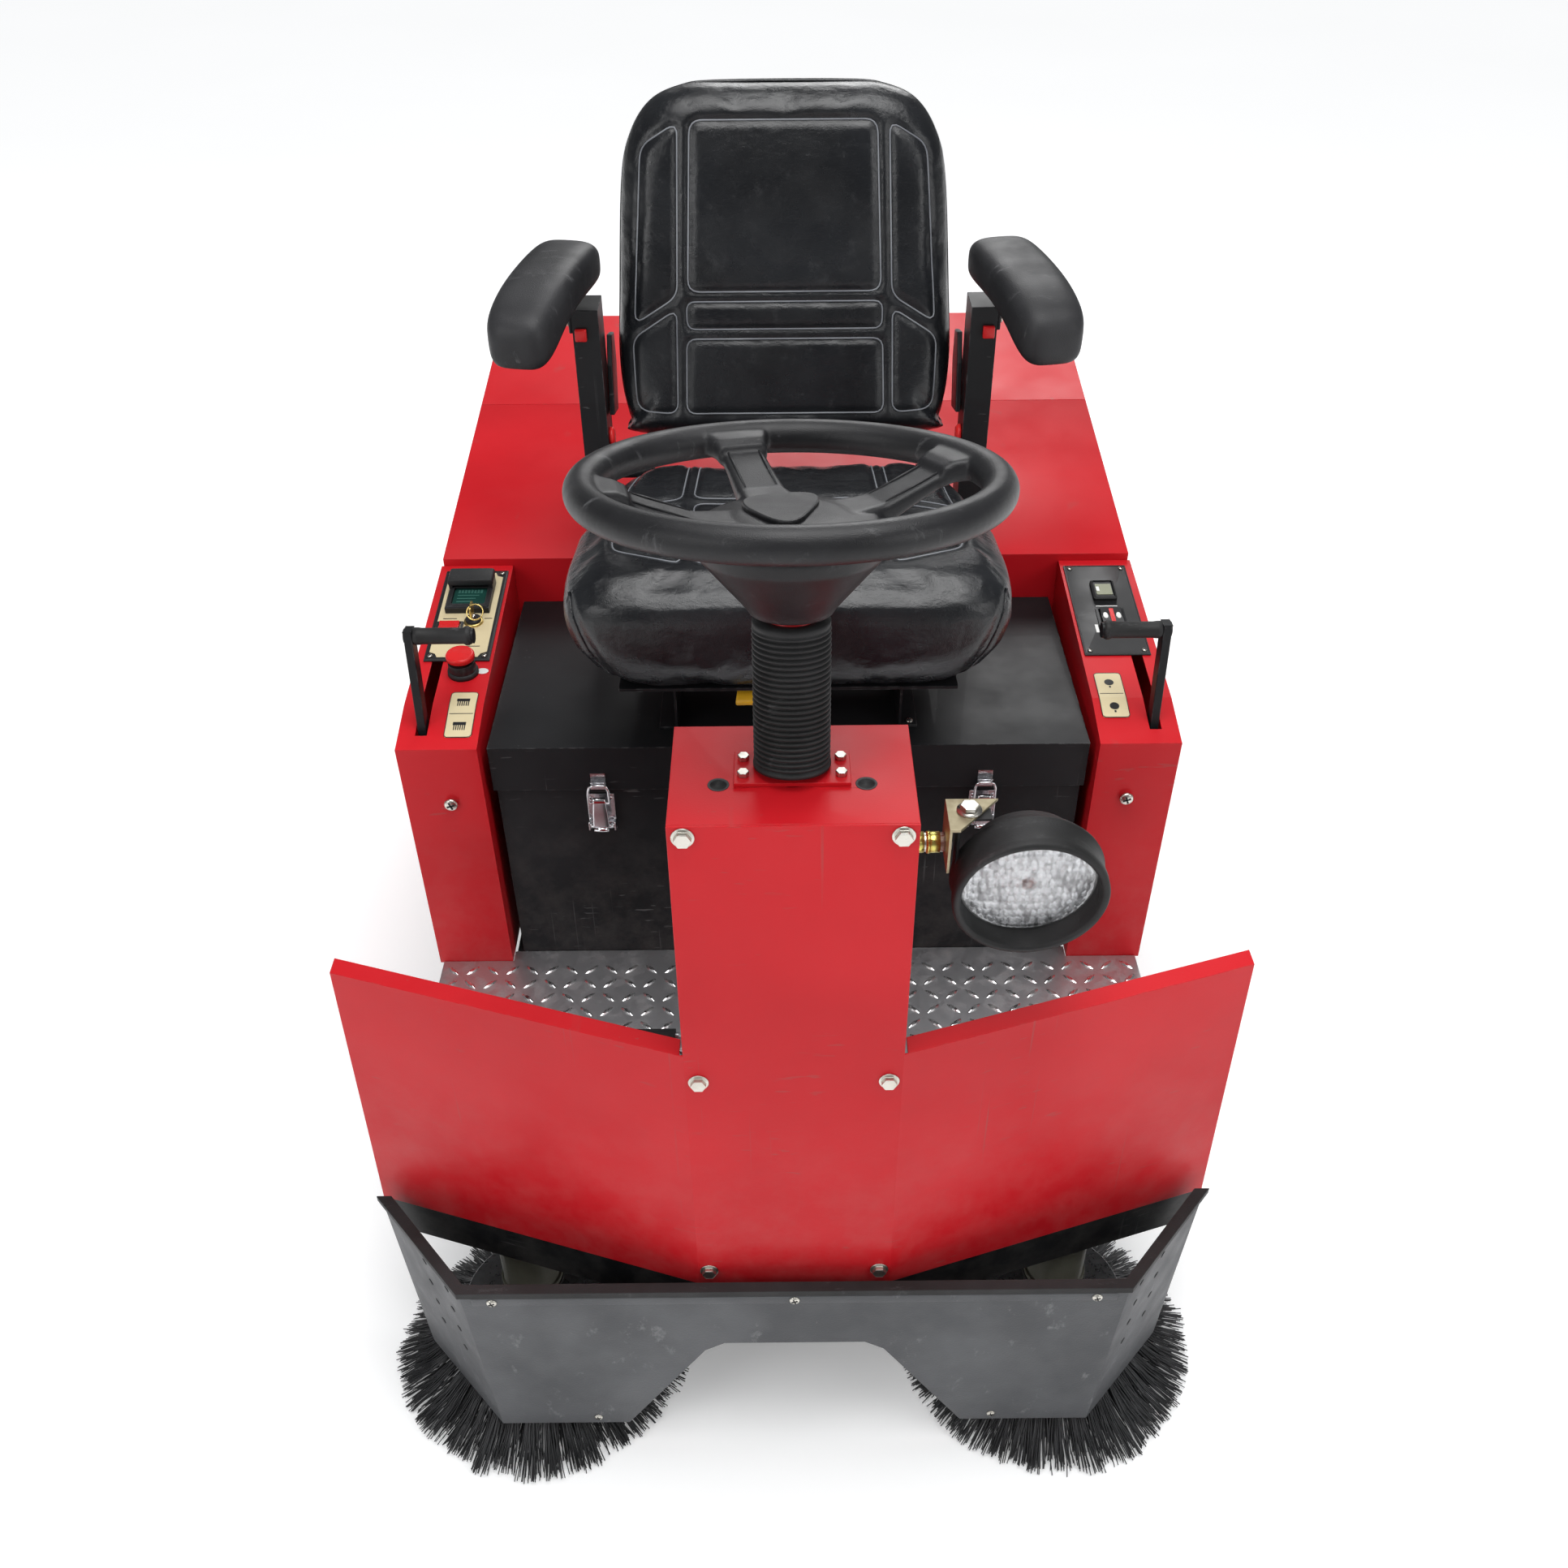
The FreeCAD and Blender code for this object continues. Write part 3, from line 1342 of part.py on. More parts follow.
lever(-1, "side_broom_lever")
lever(1, "main_broom_lever")
drive_pedal()
battery_lid()
latch_bases()
latch_lever(d.left_latch_x, "left_latch_lever")
latch_lever(d.right_latch_x, "right_latch_lever")
seat_stand()
seat_frame()
seat_cushion()
backrest_cushion()
backrest_frame()
armrest(1, "left_armrest")
armrest(-1, "right_armrest")
lamp_bracket()
lamp_housing()
lamp_lens()
cover_bolts()
doc.recompute()

for item in doc.Objects:
    if "Invalid" in item.State or "Error" in item.State:
        raise RuntimeError(f"{item.Label} failed to recompute: {item.State}")
for label, item in pieces.items():
    if item.Label != label:
        raise RuntimeError(f"two objects are called {label}")
    if item.Shape.isNull() or not item.Shape.isValid() or item.Shape.Volume <= 0:
        raise RuntimeError(f"{label} is not a valid solid")

os.makedirs("parts", exist_ok=True)
for label, item in pieces.items():
    item.Shape.exportStep(f"parts/{label}.step")
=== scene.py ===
"""Looks of the ride-on sweeper: soft parts, bristles, small fittings and every material.

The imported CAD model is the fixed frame. Lengths are metres, +Z up, the machine faces -Y.
"""
import math
import random

import bmesh
import bpy
from mathutils import Matrix, Vector
from mathutils.bvhtree import BVHTree
from mathutils.kdtree import KDTree


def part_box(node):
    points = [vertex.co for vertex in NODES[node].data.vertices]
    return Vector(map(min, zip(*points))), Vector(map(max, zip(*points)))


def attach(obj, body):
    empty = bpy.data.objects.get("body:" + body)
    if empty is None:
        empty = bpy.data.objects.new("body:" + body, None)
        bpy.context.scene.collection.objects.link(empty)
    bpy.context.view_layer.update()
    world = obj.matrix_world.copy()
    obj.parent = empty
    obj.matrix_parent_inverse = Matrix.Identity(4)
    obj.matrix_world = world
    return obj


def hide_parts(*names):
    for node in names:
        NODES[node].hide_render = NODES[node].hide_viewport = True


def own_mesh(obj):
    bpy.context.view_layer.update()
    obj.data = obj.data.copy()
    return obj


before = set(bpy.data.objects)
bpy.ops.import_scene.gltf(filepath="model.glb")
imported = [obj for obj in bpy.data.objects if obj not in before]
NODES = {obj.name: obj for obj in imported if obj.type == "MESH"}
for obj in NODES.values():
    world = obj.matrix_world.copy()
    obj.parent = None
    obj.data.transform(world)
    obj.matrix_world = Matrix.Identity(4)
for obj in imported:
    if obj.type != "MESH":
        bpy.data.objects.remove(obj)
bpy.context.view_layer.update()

rng = random.Random(11)


# ---- node graphs ----------------------------------------------------------------------------

class Shader:
    """The node graph of one material, with a short call for each node that it uses."""

    def __init__(self, name, **settings):
        self.material = bpy.data.materials.new(name)
        self.material.use_nodes = True
        self.nodes = self.material.node_tree.nodes
        self.links = self.material.node_tree.links
        self.nodes.clear()
        output = self.nodes.new("ShaderNodeOutputMaterial")
        self.surface = self.nodes.new("ShaderNodeBsdfPrincipled")
        self.links.new(self.surface.outputs[0], output.inputs["Surface"])
        coordinates = self.nodes.new("ShaderNodeTexCoord")
        self.place = coordinates.outputs["Object"]
        for key, value in settings.items():
            self.set(key.replace("_", " "), value)

    def put(self, socket, value):
        """Link a socket or set its value."""
        if isinstance(value, bpy.types.NodeSocket):
            self.links.new(value, socket)
        else:
            socket.default_value = value

    def set(self, name, value):
        """Set or link an input of the surface shader."""
        self.put(self.surface.inputs[name], colour(value) if "Color" in name or "Tint" in name else value)

    def stretched(self, stretch):
        """The place being shaded, scaled along each axis."""
        mapping = self.nodes.new("ShaderNodeMapping")
        mapping.inputs["Scale"].default_value = stretch
        self.links.new(self.place, mapping.inputs["Vector"])
        return mapping.outputs[0]

    def noise(self, scale, detail=4.0, roughness=0.5, stretch=(1, 1, 1)):
        """Cloudy noise around 0.5."""
        place = self.stretched(stretch)
        noise = self.nodes.new("ShaderNodeTexNoise")
        noise.inputs["Scale"].default_value = scale
        noise.inputs["Detail"].default_value = detail
        noise.inputs["Roughness"].default_value = roughness
        self.links.new(place, noise.inputs["Vector"])
        return noise.outputs["Fac"]

    def cells(self, scale, stretch=(1, 1, 1)):
        """Distance to the middle of the nearest cell."""
        place = self.stretched(stretch)
        cell = self.nodes.new("ShaderNodeTexVoronoi")
        cell.inputs["Scale"].default_value = scale
        self.links.new(place, cell.inputs["Vector"])
        return cell.outputs["Distance"]

    def axis(self, letter):
        """One coordinate of the point being shaded."""
        split = self.nodes.new("ShaderNodeSeparateXYZ")
        self.links.new(self.place, split.inputs[0])
        return split.outputs[letter.upper()]

    def math(self, operation, first, second=0.0):
        """One arithmetic step."""
        node = self.nodes.new("ShaderNodeMath")
        node.operation = operation
        self.put(node.inputs[0], first)
        self.put(node.inputs[1], second)
        return node.outputs[0]

    def span(self, value, low, high, start=0.0, end=1.0):
        """Map low..high to start..end, held at the ends."""
        node = self.nodes.new("ShaderNodeMapRange")
        self.put(node.inputs["Value"], value)
        for name, number in zip(("From Min", "From Max", "To Min", "To Max"), (low, high, start, end)):
            node.inputs[name].default_value = number
        return node.outputs[0]

    def mix(self, factor, first, second):
        """A blend of two colours."""
        node = self.nodes.new("ShaderNodeMix")
        node.data_type = "RGBA"
        self.put(node.inputs["Factor"], factor)
        self.put(node.inputs["A"], colour(first))
        self.put(node.inputs["B"], colour(second))
        return node.outputs["Result"]

    def bump(self, height, distance, strength=1.0, below=None):
        """A bumped normal, on top of another one if given."""
        node = self.nodes.new("ShaderNodeBump")
        node.inputs["Distance"].default_value = distance
        node.inputs["Strength"].default_value = strength
        self.put(node.inputs["Height"], height)
        if below is not None:
            self.links.new(below, node.inputs["Normal"])
        return node.outputs[0]

    def edges(self, radius):
        """A mask that is 1 on outside edges, from how far the rounded normal leaves the face."""
        bevel = self.nodes.new("ShaderNodeBevel")
        bevel.samples = 4
        bevel.inputs["Radius"].default_value = radius
        geometry = self.nodes.new("ShaderNodeNewGeometry")
        dot = self.nodes.new("ShaderNodeVectorMath")
        dot.operation = "DOT_PRODUCT"
        self.links.new(bevel.outputs[0], dot.inputs[0])
        self.links.new(geometry.outputs["Normal"], dot.inputs[1])
        return self.span(dot.outputs["Value"], 0.97, 0.82)


def colour(value):
    """An RGB triple as the RGBA that sockets take; anything else unchanged."""
    if isinstance(value, (tuple, list)) and len(value) == 3:
        return (*value, 1.0)
    return value


def paint(name, base, shade, wear, roughness=0.36, dust=(0.5, 0.46, 0.42), worn=0.35):
    """Powder coat: orange peel, faint cloudy tone, hairline scratches, dust low down, edge wear."""
    shader = Shader(name)
    cloud = shader.span(shader.noise(5, 5), 0.35, 0.68)
    tone = shader.mix(cloud, base, shade)
    scratch_a = shader.span(shader.noise(38, 2, 0.4, (1, 0.05, 6)), 0.68, 0.72)
    scratch_b = shader.span(shader.noise(45, 2, 0.4, (5, 5, 0.06)), 0.70, 0.74)
    scratches = shader.math("MAXIMUM", scratch_a, scratch_b)
    patchy = shader.span(shader.noise(9, 3), 0.52, 0.7)
    scratches = shader.math("MULTIPLY", scratches, patchy)
    tone = shader.mix(shader.math("MULTIPLY", scratches, 0.35), tone, wear)
    low_down = shader.span(shader.axis("z"), 0.60, 0.05, 0.0, 0.15)
    film = shader.math("MULTIPLY", low_down, shader.span(shader.noise(22, 6, 0.7), 0.4, 0.75))
    tone = shader.mix(film, tone, dust)
    chips = shader.math("MULTIPLY", shader.edges(0.0022), shader.span(shader.noise(70, 4), 0.5, 0.62))
    tone = shader.mix(shader.math("MULTIPLY", chips, worn), tone, wear)
    shader.set("Base Color", tone)
    rough = shader.span(shader.noise(14, 5), 0.3, 0.7, roughness - 0.05, roughness + 0.1)
    shader.set("Roughness", shader.math("ADD", rough, shader.math("MULTIPLY", film, 0.6)))
    peel = shader.bump(shader.noise(620, 2), 0.00012, 0.5)
    shader.set("Normal", shader.bump(scratches, -0.0001, 0.5, peel))
    shader.set("Coat Weight", 0.03)
    shader.set("Specular IOR Level", 0.2)
    return shader.material


def plastic(name, base, shade, roughness=0.45, grain=900, depth=0.00012, scuff=(0.3, 0.3, 0.31), scuffs=0.3):
    """Moulded polymer: fine grain, tone drift and paler scuffs."""
    shader = Shader(name)
    tone = shader.mix(shader.span(shader.noise(11, 5), 0.35, 0.65), base, shade)
    marks = shader.span(shader.noise(30, 6, 0.75, (1, 3, 0.6)), 0.6, 0.78)
    marks = shader.math("MULTIPLY", marks, scuffs)
    rubbed = shader.math("MULTIPLY", shader.edges(0.0015), scuffs * 0.6)
    tone = shader.mix(shader.math("MAXIMUM", marks, rubbed), tone, scuff)
    shader.set("Base Color", tone)
    shader.set("Roughness", shader.span(shader.noise(25, 4), 0.3, 0.7, roughness - 0.06, roughness + 0.1))
    shader.set("Normal", shader.bump(shader.cells(grain), depth, 0.6))
    shader.set("Specular IOR Level", 0.28)
    return shader.material


def metal(name, base, stain, roughness=0.3, brush=(1, 1, 30), stains=0.4):
    """Bare or plated metal with a brushed direction and dull stains."""
    shader = Shader(name, Metallic=1.0)
    lines = shader.noise(160, 2, 0.5, brush)
    dull = shader.span(shader.noise(35, 5, 0.65), 0.5, 0.75, 0.0, stains)
    shader.set("Base Color", shader.mix(dull, base, stain))
    rough = shader.span(lines, 0.3, 0.7, roughness - 0.08, roughness + 0.1)
    shader.set("Roughness", shader.math("ADD", rough, shader.math("MULTIPLY", dull, 0.4)))
    shader.set("Normal", shader.bump(lines, 0.00005, 0.4))
    return shader.material


def vinyl(name):
    """Glossy black upholstery vinyl: fine pebble grain, long stretch wrinkles and dusty highs."""
    shader = Shader(name)
    cloud = shader.span(shader.noise(7, 4), 0.4, 0.65)
    tone = shader.mix(cloud, (0.005, 0.0055, 0.0068), (0.011, 0.012, 0.014))
    dusty = shader.span(shader.noise(40, 7, 0.8), 0.55, 0.8, 0.0, 0.06)
    shader.set("Base Color", shader.mix(dusty, tone, (0.35, 0.35, 0.36)))
    shader.set("Roughness", shader.span(shader.noise(18, 5), 0.3, 0.7, 0.20, 0.36))
    pebble = shader.bump(shader.cells(1100), 0.00025, 0.5)
    creases = shader.bump(shader.noise(34, 5, 0.55, (1, 2.2, 1.6)), 0.004, 0.35, pebble)
    shader.set("Normal", shader.bump(shader.noise(120, 3, 0.5), 0.0009, 0.35, creases))
    shader.set("Specular IOR Level", 0.5)
    return shader.material


def tyre_rubber(name):
    """Dusty, dull tyre rubber."""
    shader = Shader(name)
    cloud = shader.span(shader.noise(20, 5), 0.4, 0.65)
    tone = shader.mix(cloud, (0.018, 0.018, 0.018), (0.05, 0.048, 0.045))
    dusty = shader.span(shader.noise(60, 6, 0.7), 0.5, 0.8, 0.0, 0.3)
    shader.set("Base Color", shader.mix(dusty, tone, (0.25, 0.23, 0.2)))
    shader.set("Roughness", 0.72)
    shader.set("Normal", shader.bump(shader.noise(500, 4), 0.0003, 0.6))
    return shader.material


def glass(name, base, alpha):
    """Clear moulded glass with painted shade in its flute cells."""
    shader = Shader(name)
    # The flute cells are darkened towards grey: painted shade, not a tint of the glass.
    flutes = shader.span(shader.cells(140, (1.6, 1, 0.8)), 0.50, 0.72)
    shader.set("Base Color", shader.mix(flutes, base, (0.22, 0.22, 0.23)))
    shader.set("Roughness", shader.span(shader.noise(60, 3), 0.4, 0.7, 0.02, 0.12))
    shader.set("Transmission Weight", 0.85)
    shader.set("IOR", 1.45)
    shader.set("Alpha", alpha)
    shader.set("Normal", shader.bump(shader.noise(220, 2), 0.0002, 0.3))
    return shader.material


RED = paint("red_coat", (0.53, 0.010, 0.016), (0.46, 0.007, 0.012), (0.20, 0.09, 0.08))
BLACK = paint("black_coat", (0.007, 0.0075, 0.0085), (0.013, 0.0135, 0.015), (0.2, 0.2, 0.2), 0.40, worn=0.5)
PANEL_BLACK = plastic("panel_black", (0.012, 0.012, 0.013), (0.02, 0.02, 0.021), 0.35, scuffs=0.15)
CREAM = plastic("cream_print", (0.62, 0.53, 0.33), (0.55, 0.46, 0.28), 0.4,
                scuff=(0.2, 0.17, 0.12), scuffs=0.25)
SKIRT = plastic("skirt_polymer", (0.068, 0.070, 0.075), (0.098, 0.101, 0.107), 0.5, 420, 0.0003,
                (0.38, 0.38, 0.39), 0.5)
RUBBER = plastic("black_rubber", (0.012, 0.012, 0.012), (0.024, 0.024, 0.025), 0.55, 700, 0.0002, scuffs=0.2)
WHEEL_GRIP = plastic("wheel_moulding", (0.009, 0.009, 0.010), (0.016, 0.016, 0.0175), 0.36, 1300, 0.0002,
                     scuffs=0.25)
ARM_FOAM = plastic("armrest_skin", (0.015, 0.015, 0.0165), (0.025, 0.025, 0.027), 0.46, 1000, 0.0002,
                   scuffs=0.35)
BRISTLE = plastic("bristle_filament", (0.010, 0.010, 0.011), (0.035, 0.035, 0.037), 0.4, 300, 0.0001,
                  scuffs=0.3)
BATTERY = plastic("battery_case", (0.02, 0.02, 0.022), (0.035, 0.035, 0.038), 0.5)
RED_PLASTIC = plastic("red_switch", (0.62, 0.02, 0.02), (0.5, 0.012, 0.014), 0.25, scuffs=0.1)
FILTER = plastic("filter_paper", (0.62, 0.57, 0.45), (0.5, 0.45, 0.36), 0.85, 300, 0.0004)
VINYL = vinyl("seat_vinyl")
TYRE = tyre_rubber("tyre_rubber")
# Pale grey for the welded lines on the black vinyl: painted highlight along the raised lines.
SEAM_HIGHLIGHT = plastic("seam_highlight", (0.20, 0.21, 0.225), (0.12, 0.125, 0.14), 0.45, scuffs=0.3)
STEEL = metal("bare_steel", (0.55, 0.55, 0.56), (0.25, 0.22, 0.2))
ZINC = metal("zinc_plate", (0.66, 0.64, 0.58), (0.42, 0.36, 0.28), 0.32)
YELLOW_ZINC = metal("yellow_zinc", (0.72, 0.66, 0.18), (0.45, 0.40, 0.14), 0.28)
OLIVE_ZINC = metal("olive_zinc", (0.42, 0.37, 0.25), (0.25, 0.19, 0.12), 0.5)
BRASS = metal("yellow_brass", (0.75, 0.56, 0.20), (0.42, 0.30, 0.14), 0.28)
CHROME = metal("chrome_plate", (0.78, 0.78, 0.80), (0.5, 0.48, 0.45), 0.16, stains=0.25)
TREAD = metal("tread_aluminium", (0.58, 0.58, 0.60), (0.28, 0.26, 0.25), 0.42, (1, 12, 1), 0.6)
TREAD_HIGH = metal("tread_lug_polish", (0.86, 0.86, 0.87), (0.55, 0.53, 0.5), 0.25)
MOTOR = paint("motor_olive", (0.14, 0.14, 0.105), (0.10, 0.10, 0.08), (0.4, 0.4, 0.36), 0.5)
GLASS = glass("lamp_glass", (0.95, 0.97, 1.0), 0.55)
REFLECTOR = metal("reflector", (0.85, 0.85, 0.85), (0.45, 0.45, 0.44), 0.10)
YELLOW = plastic("yellow_handle", (0.75, 0.42, 0.02), (0.6, 0.33, 0.02), 0.35)
WHITE = plastic("white_mark", (0.75, 0.75, 0.73), (0.6, 0.6, 0.58), 0.4)
METER = plastic("meter_window", (0.20, 0.21, 0.13), (0.15, 0.16, 0.10), 0.15, scuffs=0.1)
SCREEN = plastic("gauge_screen", (0.008, 0.035, 0.028), (0.012, 0.055, 0.045), 0.12, scuffs=0.05)
GLOW = plastic("gauge_segment", (0.05, 0.16, 0.13), (0.04, 0.12, 0.10), 0.2, scuffs=0.05)
RED_GLASS = plastic("bulb_tint", (0.35, 0.12, 0.08), (0.25, 0.08, 0.06), 0.15, scuffs=0.05)


# ---- mesh helpers ---------------------------------------------------------------------------

def new_object(name, data):
    """An object in the scene for a mesh, light or camera."""
    item = bpy.data.objects.new(name, data)
    bpy.context.scene.collection.objects.link(item)
    return item


def shade(item, smooth=True):
    """Smooth or flat shading on every face."""
    item.data.polygons.foreach_set("use_smooth", [smooth] * len(item.data.polygons))
    return item


def build(name, vertices, faces, material, smooth=True):
    """A mesh object from vertices and faces."""
    mesh = bpy.data.meshes.new(name)
    mesh.from_pydata([tuple(v) for v in vertices], [], faces)
    mesh.validate()
    mesh.materials.append(material)
    item = new_object(name, mesh)
    return shade(item) if smooth else item


def modifier(item, kind, **settings):
    """Add a modifier with its settings."""
    added = item.modifiers.new(kind.lower(), kind)
    for key, value in settings.items():
        setattr(added, key, value)
    return added


def apply_modifiers(item):
    """Bake an object's modifiers into its mesh."""
    graph = bpy.context.evaluated_depsgraph_get()
    baked = bpy.data.meshes.new_from_object(item.evaluated_get(graph))
    item.modifiers.clear()
    item.data = baked
    return item


def soften(item, width):
    """Round the sharp edges of a piece."""
    modifier(item, "BEVEL", width=width, segments=2, limit_method="ANGLE")
    return apply_modifiers(item)


def join(name, items):
    """One mesh out of several, each part keeping its material."""
    mesh = bmesh.new()
    materials = []
    for item in items:
        first = len(mesh.faces)
        mesh.from_mesh(item.data)
        mesh.faces.ensure_lookup_table()
        for material in item.data.materials:
            if material not in materials:
                materials.append(material)
        own = [materials.index(material) for material in item.data.materials]
        for face in mesh.faces[first:]:
            face.material_index = own[face.material_index]
    data = bpy.data.meshes.new(name)
    mesh.to_mesh(data)
    mesh.free()
    for material in materials:
        data.materials.append(material)
    for item in items:
        bpy.data.objects.remove(item)
    return new_object(name, data)


def turns(count):
    """Evenly spaced angles of one full turn, in radians."""
    return [2 * math.pi * k / count for k in range(count)]


def circle(radius, height, count):
    """Points of a horizontal circle about Z."""
    return [(radius * math.cos(a), radius * math.sin(a), height) for a in turns(count)]


def boxy(value, power):
    """A sine or cosine pushed towards 1 or -1, which makes an ellipse boxier."""
    return math.copysign(abs(value) ** power, value)


def rings(name, loops, material, closed=False, caps=True, smooth=True):
    """Skin a list of equal rings of points."""
    size = len(loops[0])
    vertices = [point for loop in loops for point in loop]
    faces = []
    count = len(loops)
    for i in range(count if closed else count - 1):
        a, b = i * size, ((i + 1) % count) * size
        for k in range(size):
            n = (k + 1) % size
            faces.append((a + k, a + n, b + n, b + k))
    if caps and not closed:
        faces.append(tuple(reversed(range(size))))
        faces.append(tuple((count - 1) * size + k for k in range(size)))
    return build(name, vertices, faces, material, smooth)


def lathe(name, profile, material, steps=64):
    """A profile of (radius, height) turned about Z; it may start and end on the axis."""
    return rings(name, [circle(max(radius, 1e-5), height, steps) for radius, height in profile], material)


def tube(name, path, radius, material, sides=8, closed=False):
    """A round bar along a path of points."""
    points = [Vector(p) for p in path]
    count = len(points)
    loops = []
    normal = None
    for i, point in enumerate(points):
        ahead = points[(i + 1) % count] if closed or i < count - 1 else point
        behind = points[i - 1] if closed or i > 0 else point
        along = (ahead - behind).normalized()
        if normal is None:
            normal = along.orthogonal()
        normal = (normal - along * normal.dot(along)).normalized()
        across = along.cross(normal)
        loops.append([point + (normal * math.cos(a) + across * math.sin(a)) * radius for a in turns(sides)])
    return rings(name, loops, material, closed=closed)


def block(name, low, high, material, bevel=0.0008, segments=2):
    """A block with rounded edges."""
    mesh = bmesh.new()
    bmesh.ops.create_cube(mesh, size=1)
    low, high = Vector(low), Vector(high)
    centre, extent = (low + high) / 2, high - low
    for vertex in mesh.verts:
        vertex.co = Vector(centre[i] + vertex.co[i] * extent[i] for i in range(3))
    bmesh.ops.bevel(mesh, geom=mesh.edges[:], offset=bevel, segments=segments, affect="EDGES", profile=0.5)
    data = bpy.data.meshes.new(name)
    mesh.to_mesh(data)
    mesh.free()
    data.materials.append(material)
    return shade(new_object(name, data))


def put(item, matrix):
    """Move an object's mesh by a matrix."""
    item.data.transform(matrix)
    return item


def arc_points(centre, radius, start, end, steps):
    """Points along an arc in a plane, angles in degrees."""
    turn = [math.radians(start + (end - start) * k / steps) for k in range(steps + 1)]
    return [(centre[0] + radius * math.cos(a), centre[1] + radius * math.sin(a)) for a in turn]


def rounded_outline(low, high, radius, steps=5):
    """A rectangle with round corners, as 2D points."""
    corners = [((high[0] - radius, high[1] - radius), 0), ((low[0] + radius, high[1] - radius), 90)]
    corners += [((low[0] + radius, low[1] + radius), 180), ((high[0] - radius, low[1] + radius), 270)]
    return [p for centre, start in corners for p in arc_points(centre, radius, start, start + 90, steps)]


def plate(name, outline, low, high, material, bevel=0.0):
    """A flat plate with a 2D outline, from height low to high."""
    loops = [[(x, y, low) for x, y in outline], [(x, y, high) for x, y in outline]]
    item = rings(name, loops, material, smooth=False)
    return soften(item, bevel) if bevel else item


def surround(name, levels, material):
    """A closed frame, skinned through steps of (outline, height)."""
    loops = [[(x, y, z) for x, y in outline] for outline, z in levels]
    return rings(name, loops, material, closed=True, smooth=False)


def printed_bar(low, high, base, top, material):
    """A thin rectangular mark."""
    return plate("mark", [low, (high[0], low[1]), high, (low[0], high[1])], base, top, material)


def surface_of(item):
    """A ray-castable copy of a mesh."""
    graph = bpy.context.evaluated_depsgraph_get()
    return BVHTree.FromObject(item, graph)


def fit(item, body, slot, *nodes):
    """Hang a finished piece on its body and hide the CAD nodes it stands for; the finish name is not used."""
    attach(item, body)
    if nodes:
        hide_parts(*nodes)
    return item


def screw(name, place, radius, material=ZINC, height=0.0022):
    """A domed screw head with a cross recess, its axis along the local Z of place."""
    profile = [(0, 0), (radius, 0), (radius, 0.3 * height), (0.8 * radius, 0.75 * height), (0, height)]
    head = lathe(name, profile, material, 20)
    slots = []
    for turn in (0, 90):
        bar = block(name, (-0.6 * radius, -0.13 * radius, 0.5 * height),
                    (0.6 * radius, 0.13 * radius, height + 0.00015), RUBBER, 0.0001, 1)
        slots.append(put(bar, Matrix.Rotation(math.radians(turn + 20), 4, "Z")))
    return put(join(name, [head, *slots]), place)


def hex_bolt(name, radius, height, material):
    """A hexagonal head on a round washer, standing on the floor of its own frame."""
    washer = lathe(name, [(0, 0), (radius * 1.3, 0), (radius * 1.3, 0.0012), (0, 0.0012)], material, 36)
    corners = [Vector(p) for p in arc_points((0, 0), radius, 0, 300, 5)]
    head = plate(name, corners, 0.0012, height, material, 0.0007)
    return join(name, [washer, head])


def facing(point, direction):
    """A place at a point with its local Z along a direction."""
    turn = Vector(direction).to_track_quat("Z", "Y").to_matrix().to_4x4()
    return Matrix.Translation(point) @ turn


def fit_screw(name, body, point, direction, radius, height=0.0022, material=ZINC, finish="zinc_steel"):
    """A screw head on a body, at a point and looking along a direction."""
    fit(screw(name, facing(point, direction), radius, material, height), body, finish)


# ---- places shared by several pieces --------------------------------------------------------

COLUMN_TILT = math.radians(10.4)
COLUMN = Matrix.Translation((0, -0.673, 0.934)) @ Matrix.Rotation(-COLUMN_TILT, 4, "X")
BACK = Matrix.Translation((0, 0.066, 0.908)) @ Matrix.Rotation(math.radians(-14), 4, "X")
LAMP = Matrix.Translation((0.215, -0.668, 0.813)) @ Matrix.Rotation(math.radians(96), 4, "X")
CONSOLE_FRONT_Y, BEND_Y, CONSOLE_REAR_Y = -0.257, -0.182, 0.117
CONSOLE_FRONT_Z, BEND_Z, CONSOLE_REAR_Z = 0.670, 0.686, 0.715
CONSOLE_PITCH = math.atan2(CONSOLE_REAR_Z - BEND_Z, CONSOLE_REAR_Y - BEND_Y)
GAUGE_PANEL, METER_PANEL = (-0.419, -0.098), (0.419, -0.098)
HORN_SWITCH, LIGHT_SWITCH, KEY_HOLE = (0.423, -0.022), (-0.438, -0.030), (-0.408, -0.017)
DECK_TOP = 0.325
ARMREST_PIVOT_Y, ARMREST_PIVOT_Z = 0.100, 1.053


def console_height(y):
    """Height of the console tops, which are steeper in front of the bend."""
    if y < BEND_Y:
        slope = (BEND_Z - CONSOLE_FRONT_Z) / (BEND_Y - CONSOLE_FRONT_Y)
        return CONSOLE_FRONT_Z + (y - CONSOLE_FRONT_Y) * slope
    return BEND_Z + (y - BEND_Y) * math.tan(CONSOLE_PITCH)


def on_console(x, y):
    """A place on the sloping console top, Z away from the sheet."""
    return Matrix.Translation((x, y, console_height(y))) @ Matrix.Rotation(CONSOLE_PITCH, 4, "X")


def drape(item, lift):
    """Lay a flat plate, built at height 0, on the console tops, bending it where they bend."""
    mesh = bmesh.new()
    mesh.from_mesh(item.data)
    every = mesh.verts[:] + mesh.edges[:] + mesh.faces[:]
    bmesh.ops.bisect_plane(mesh, geom=every, plane_co=(0, BEND_Y, 0), plane_no=(0, 1, 0))
    for vertex in mesh.verts:
        vertex.co.z += console_height(vertex.co.y) + lift
    mesh.to_mesh(item.data)
    mesh.free()
    return item


# ---- padded seat ----------------------------------------------------------------------------

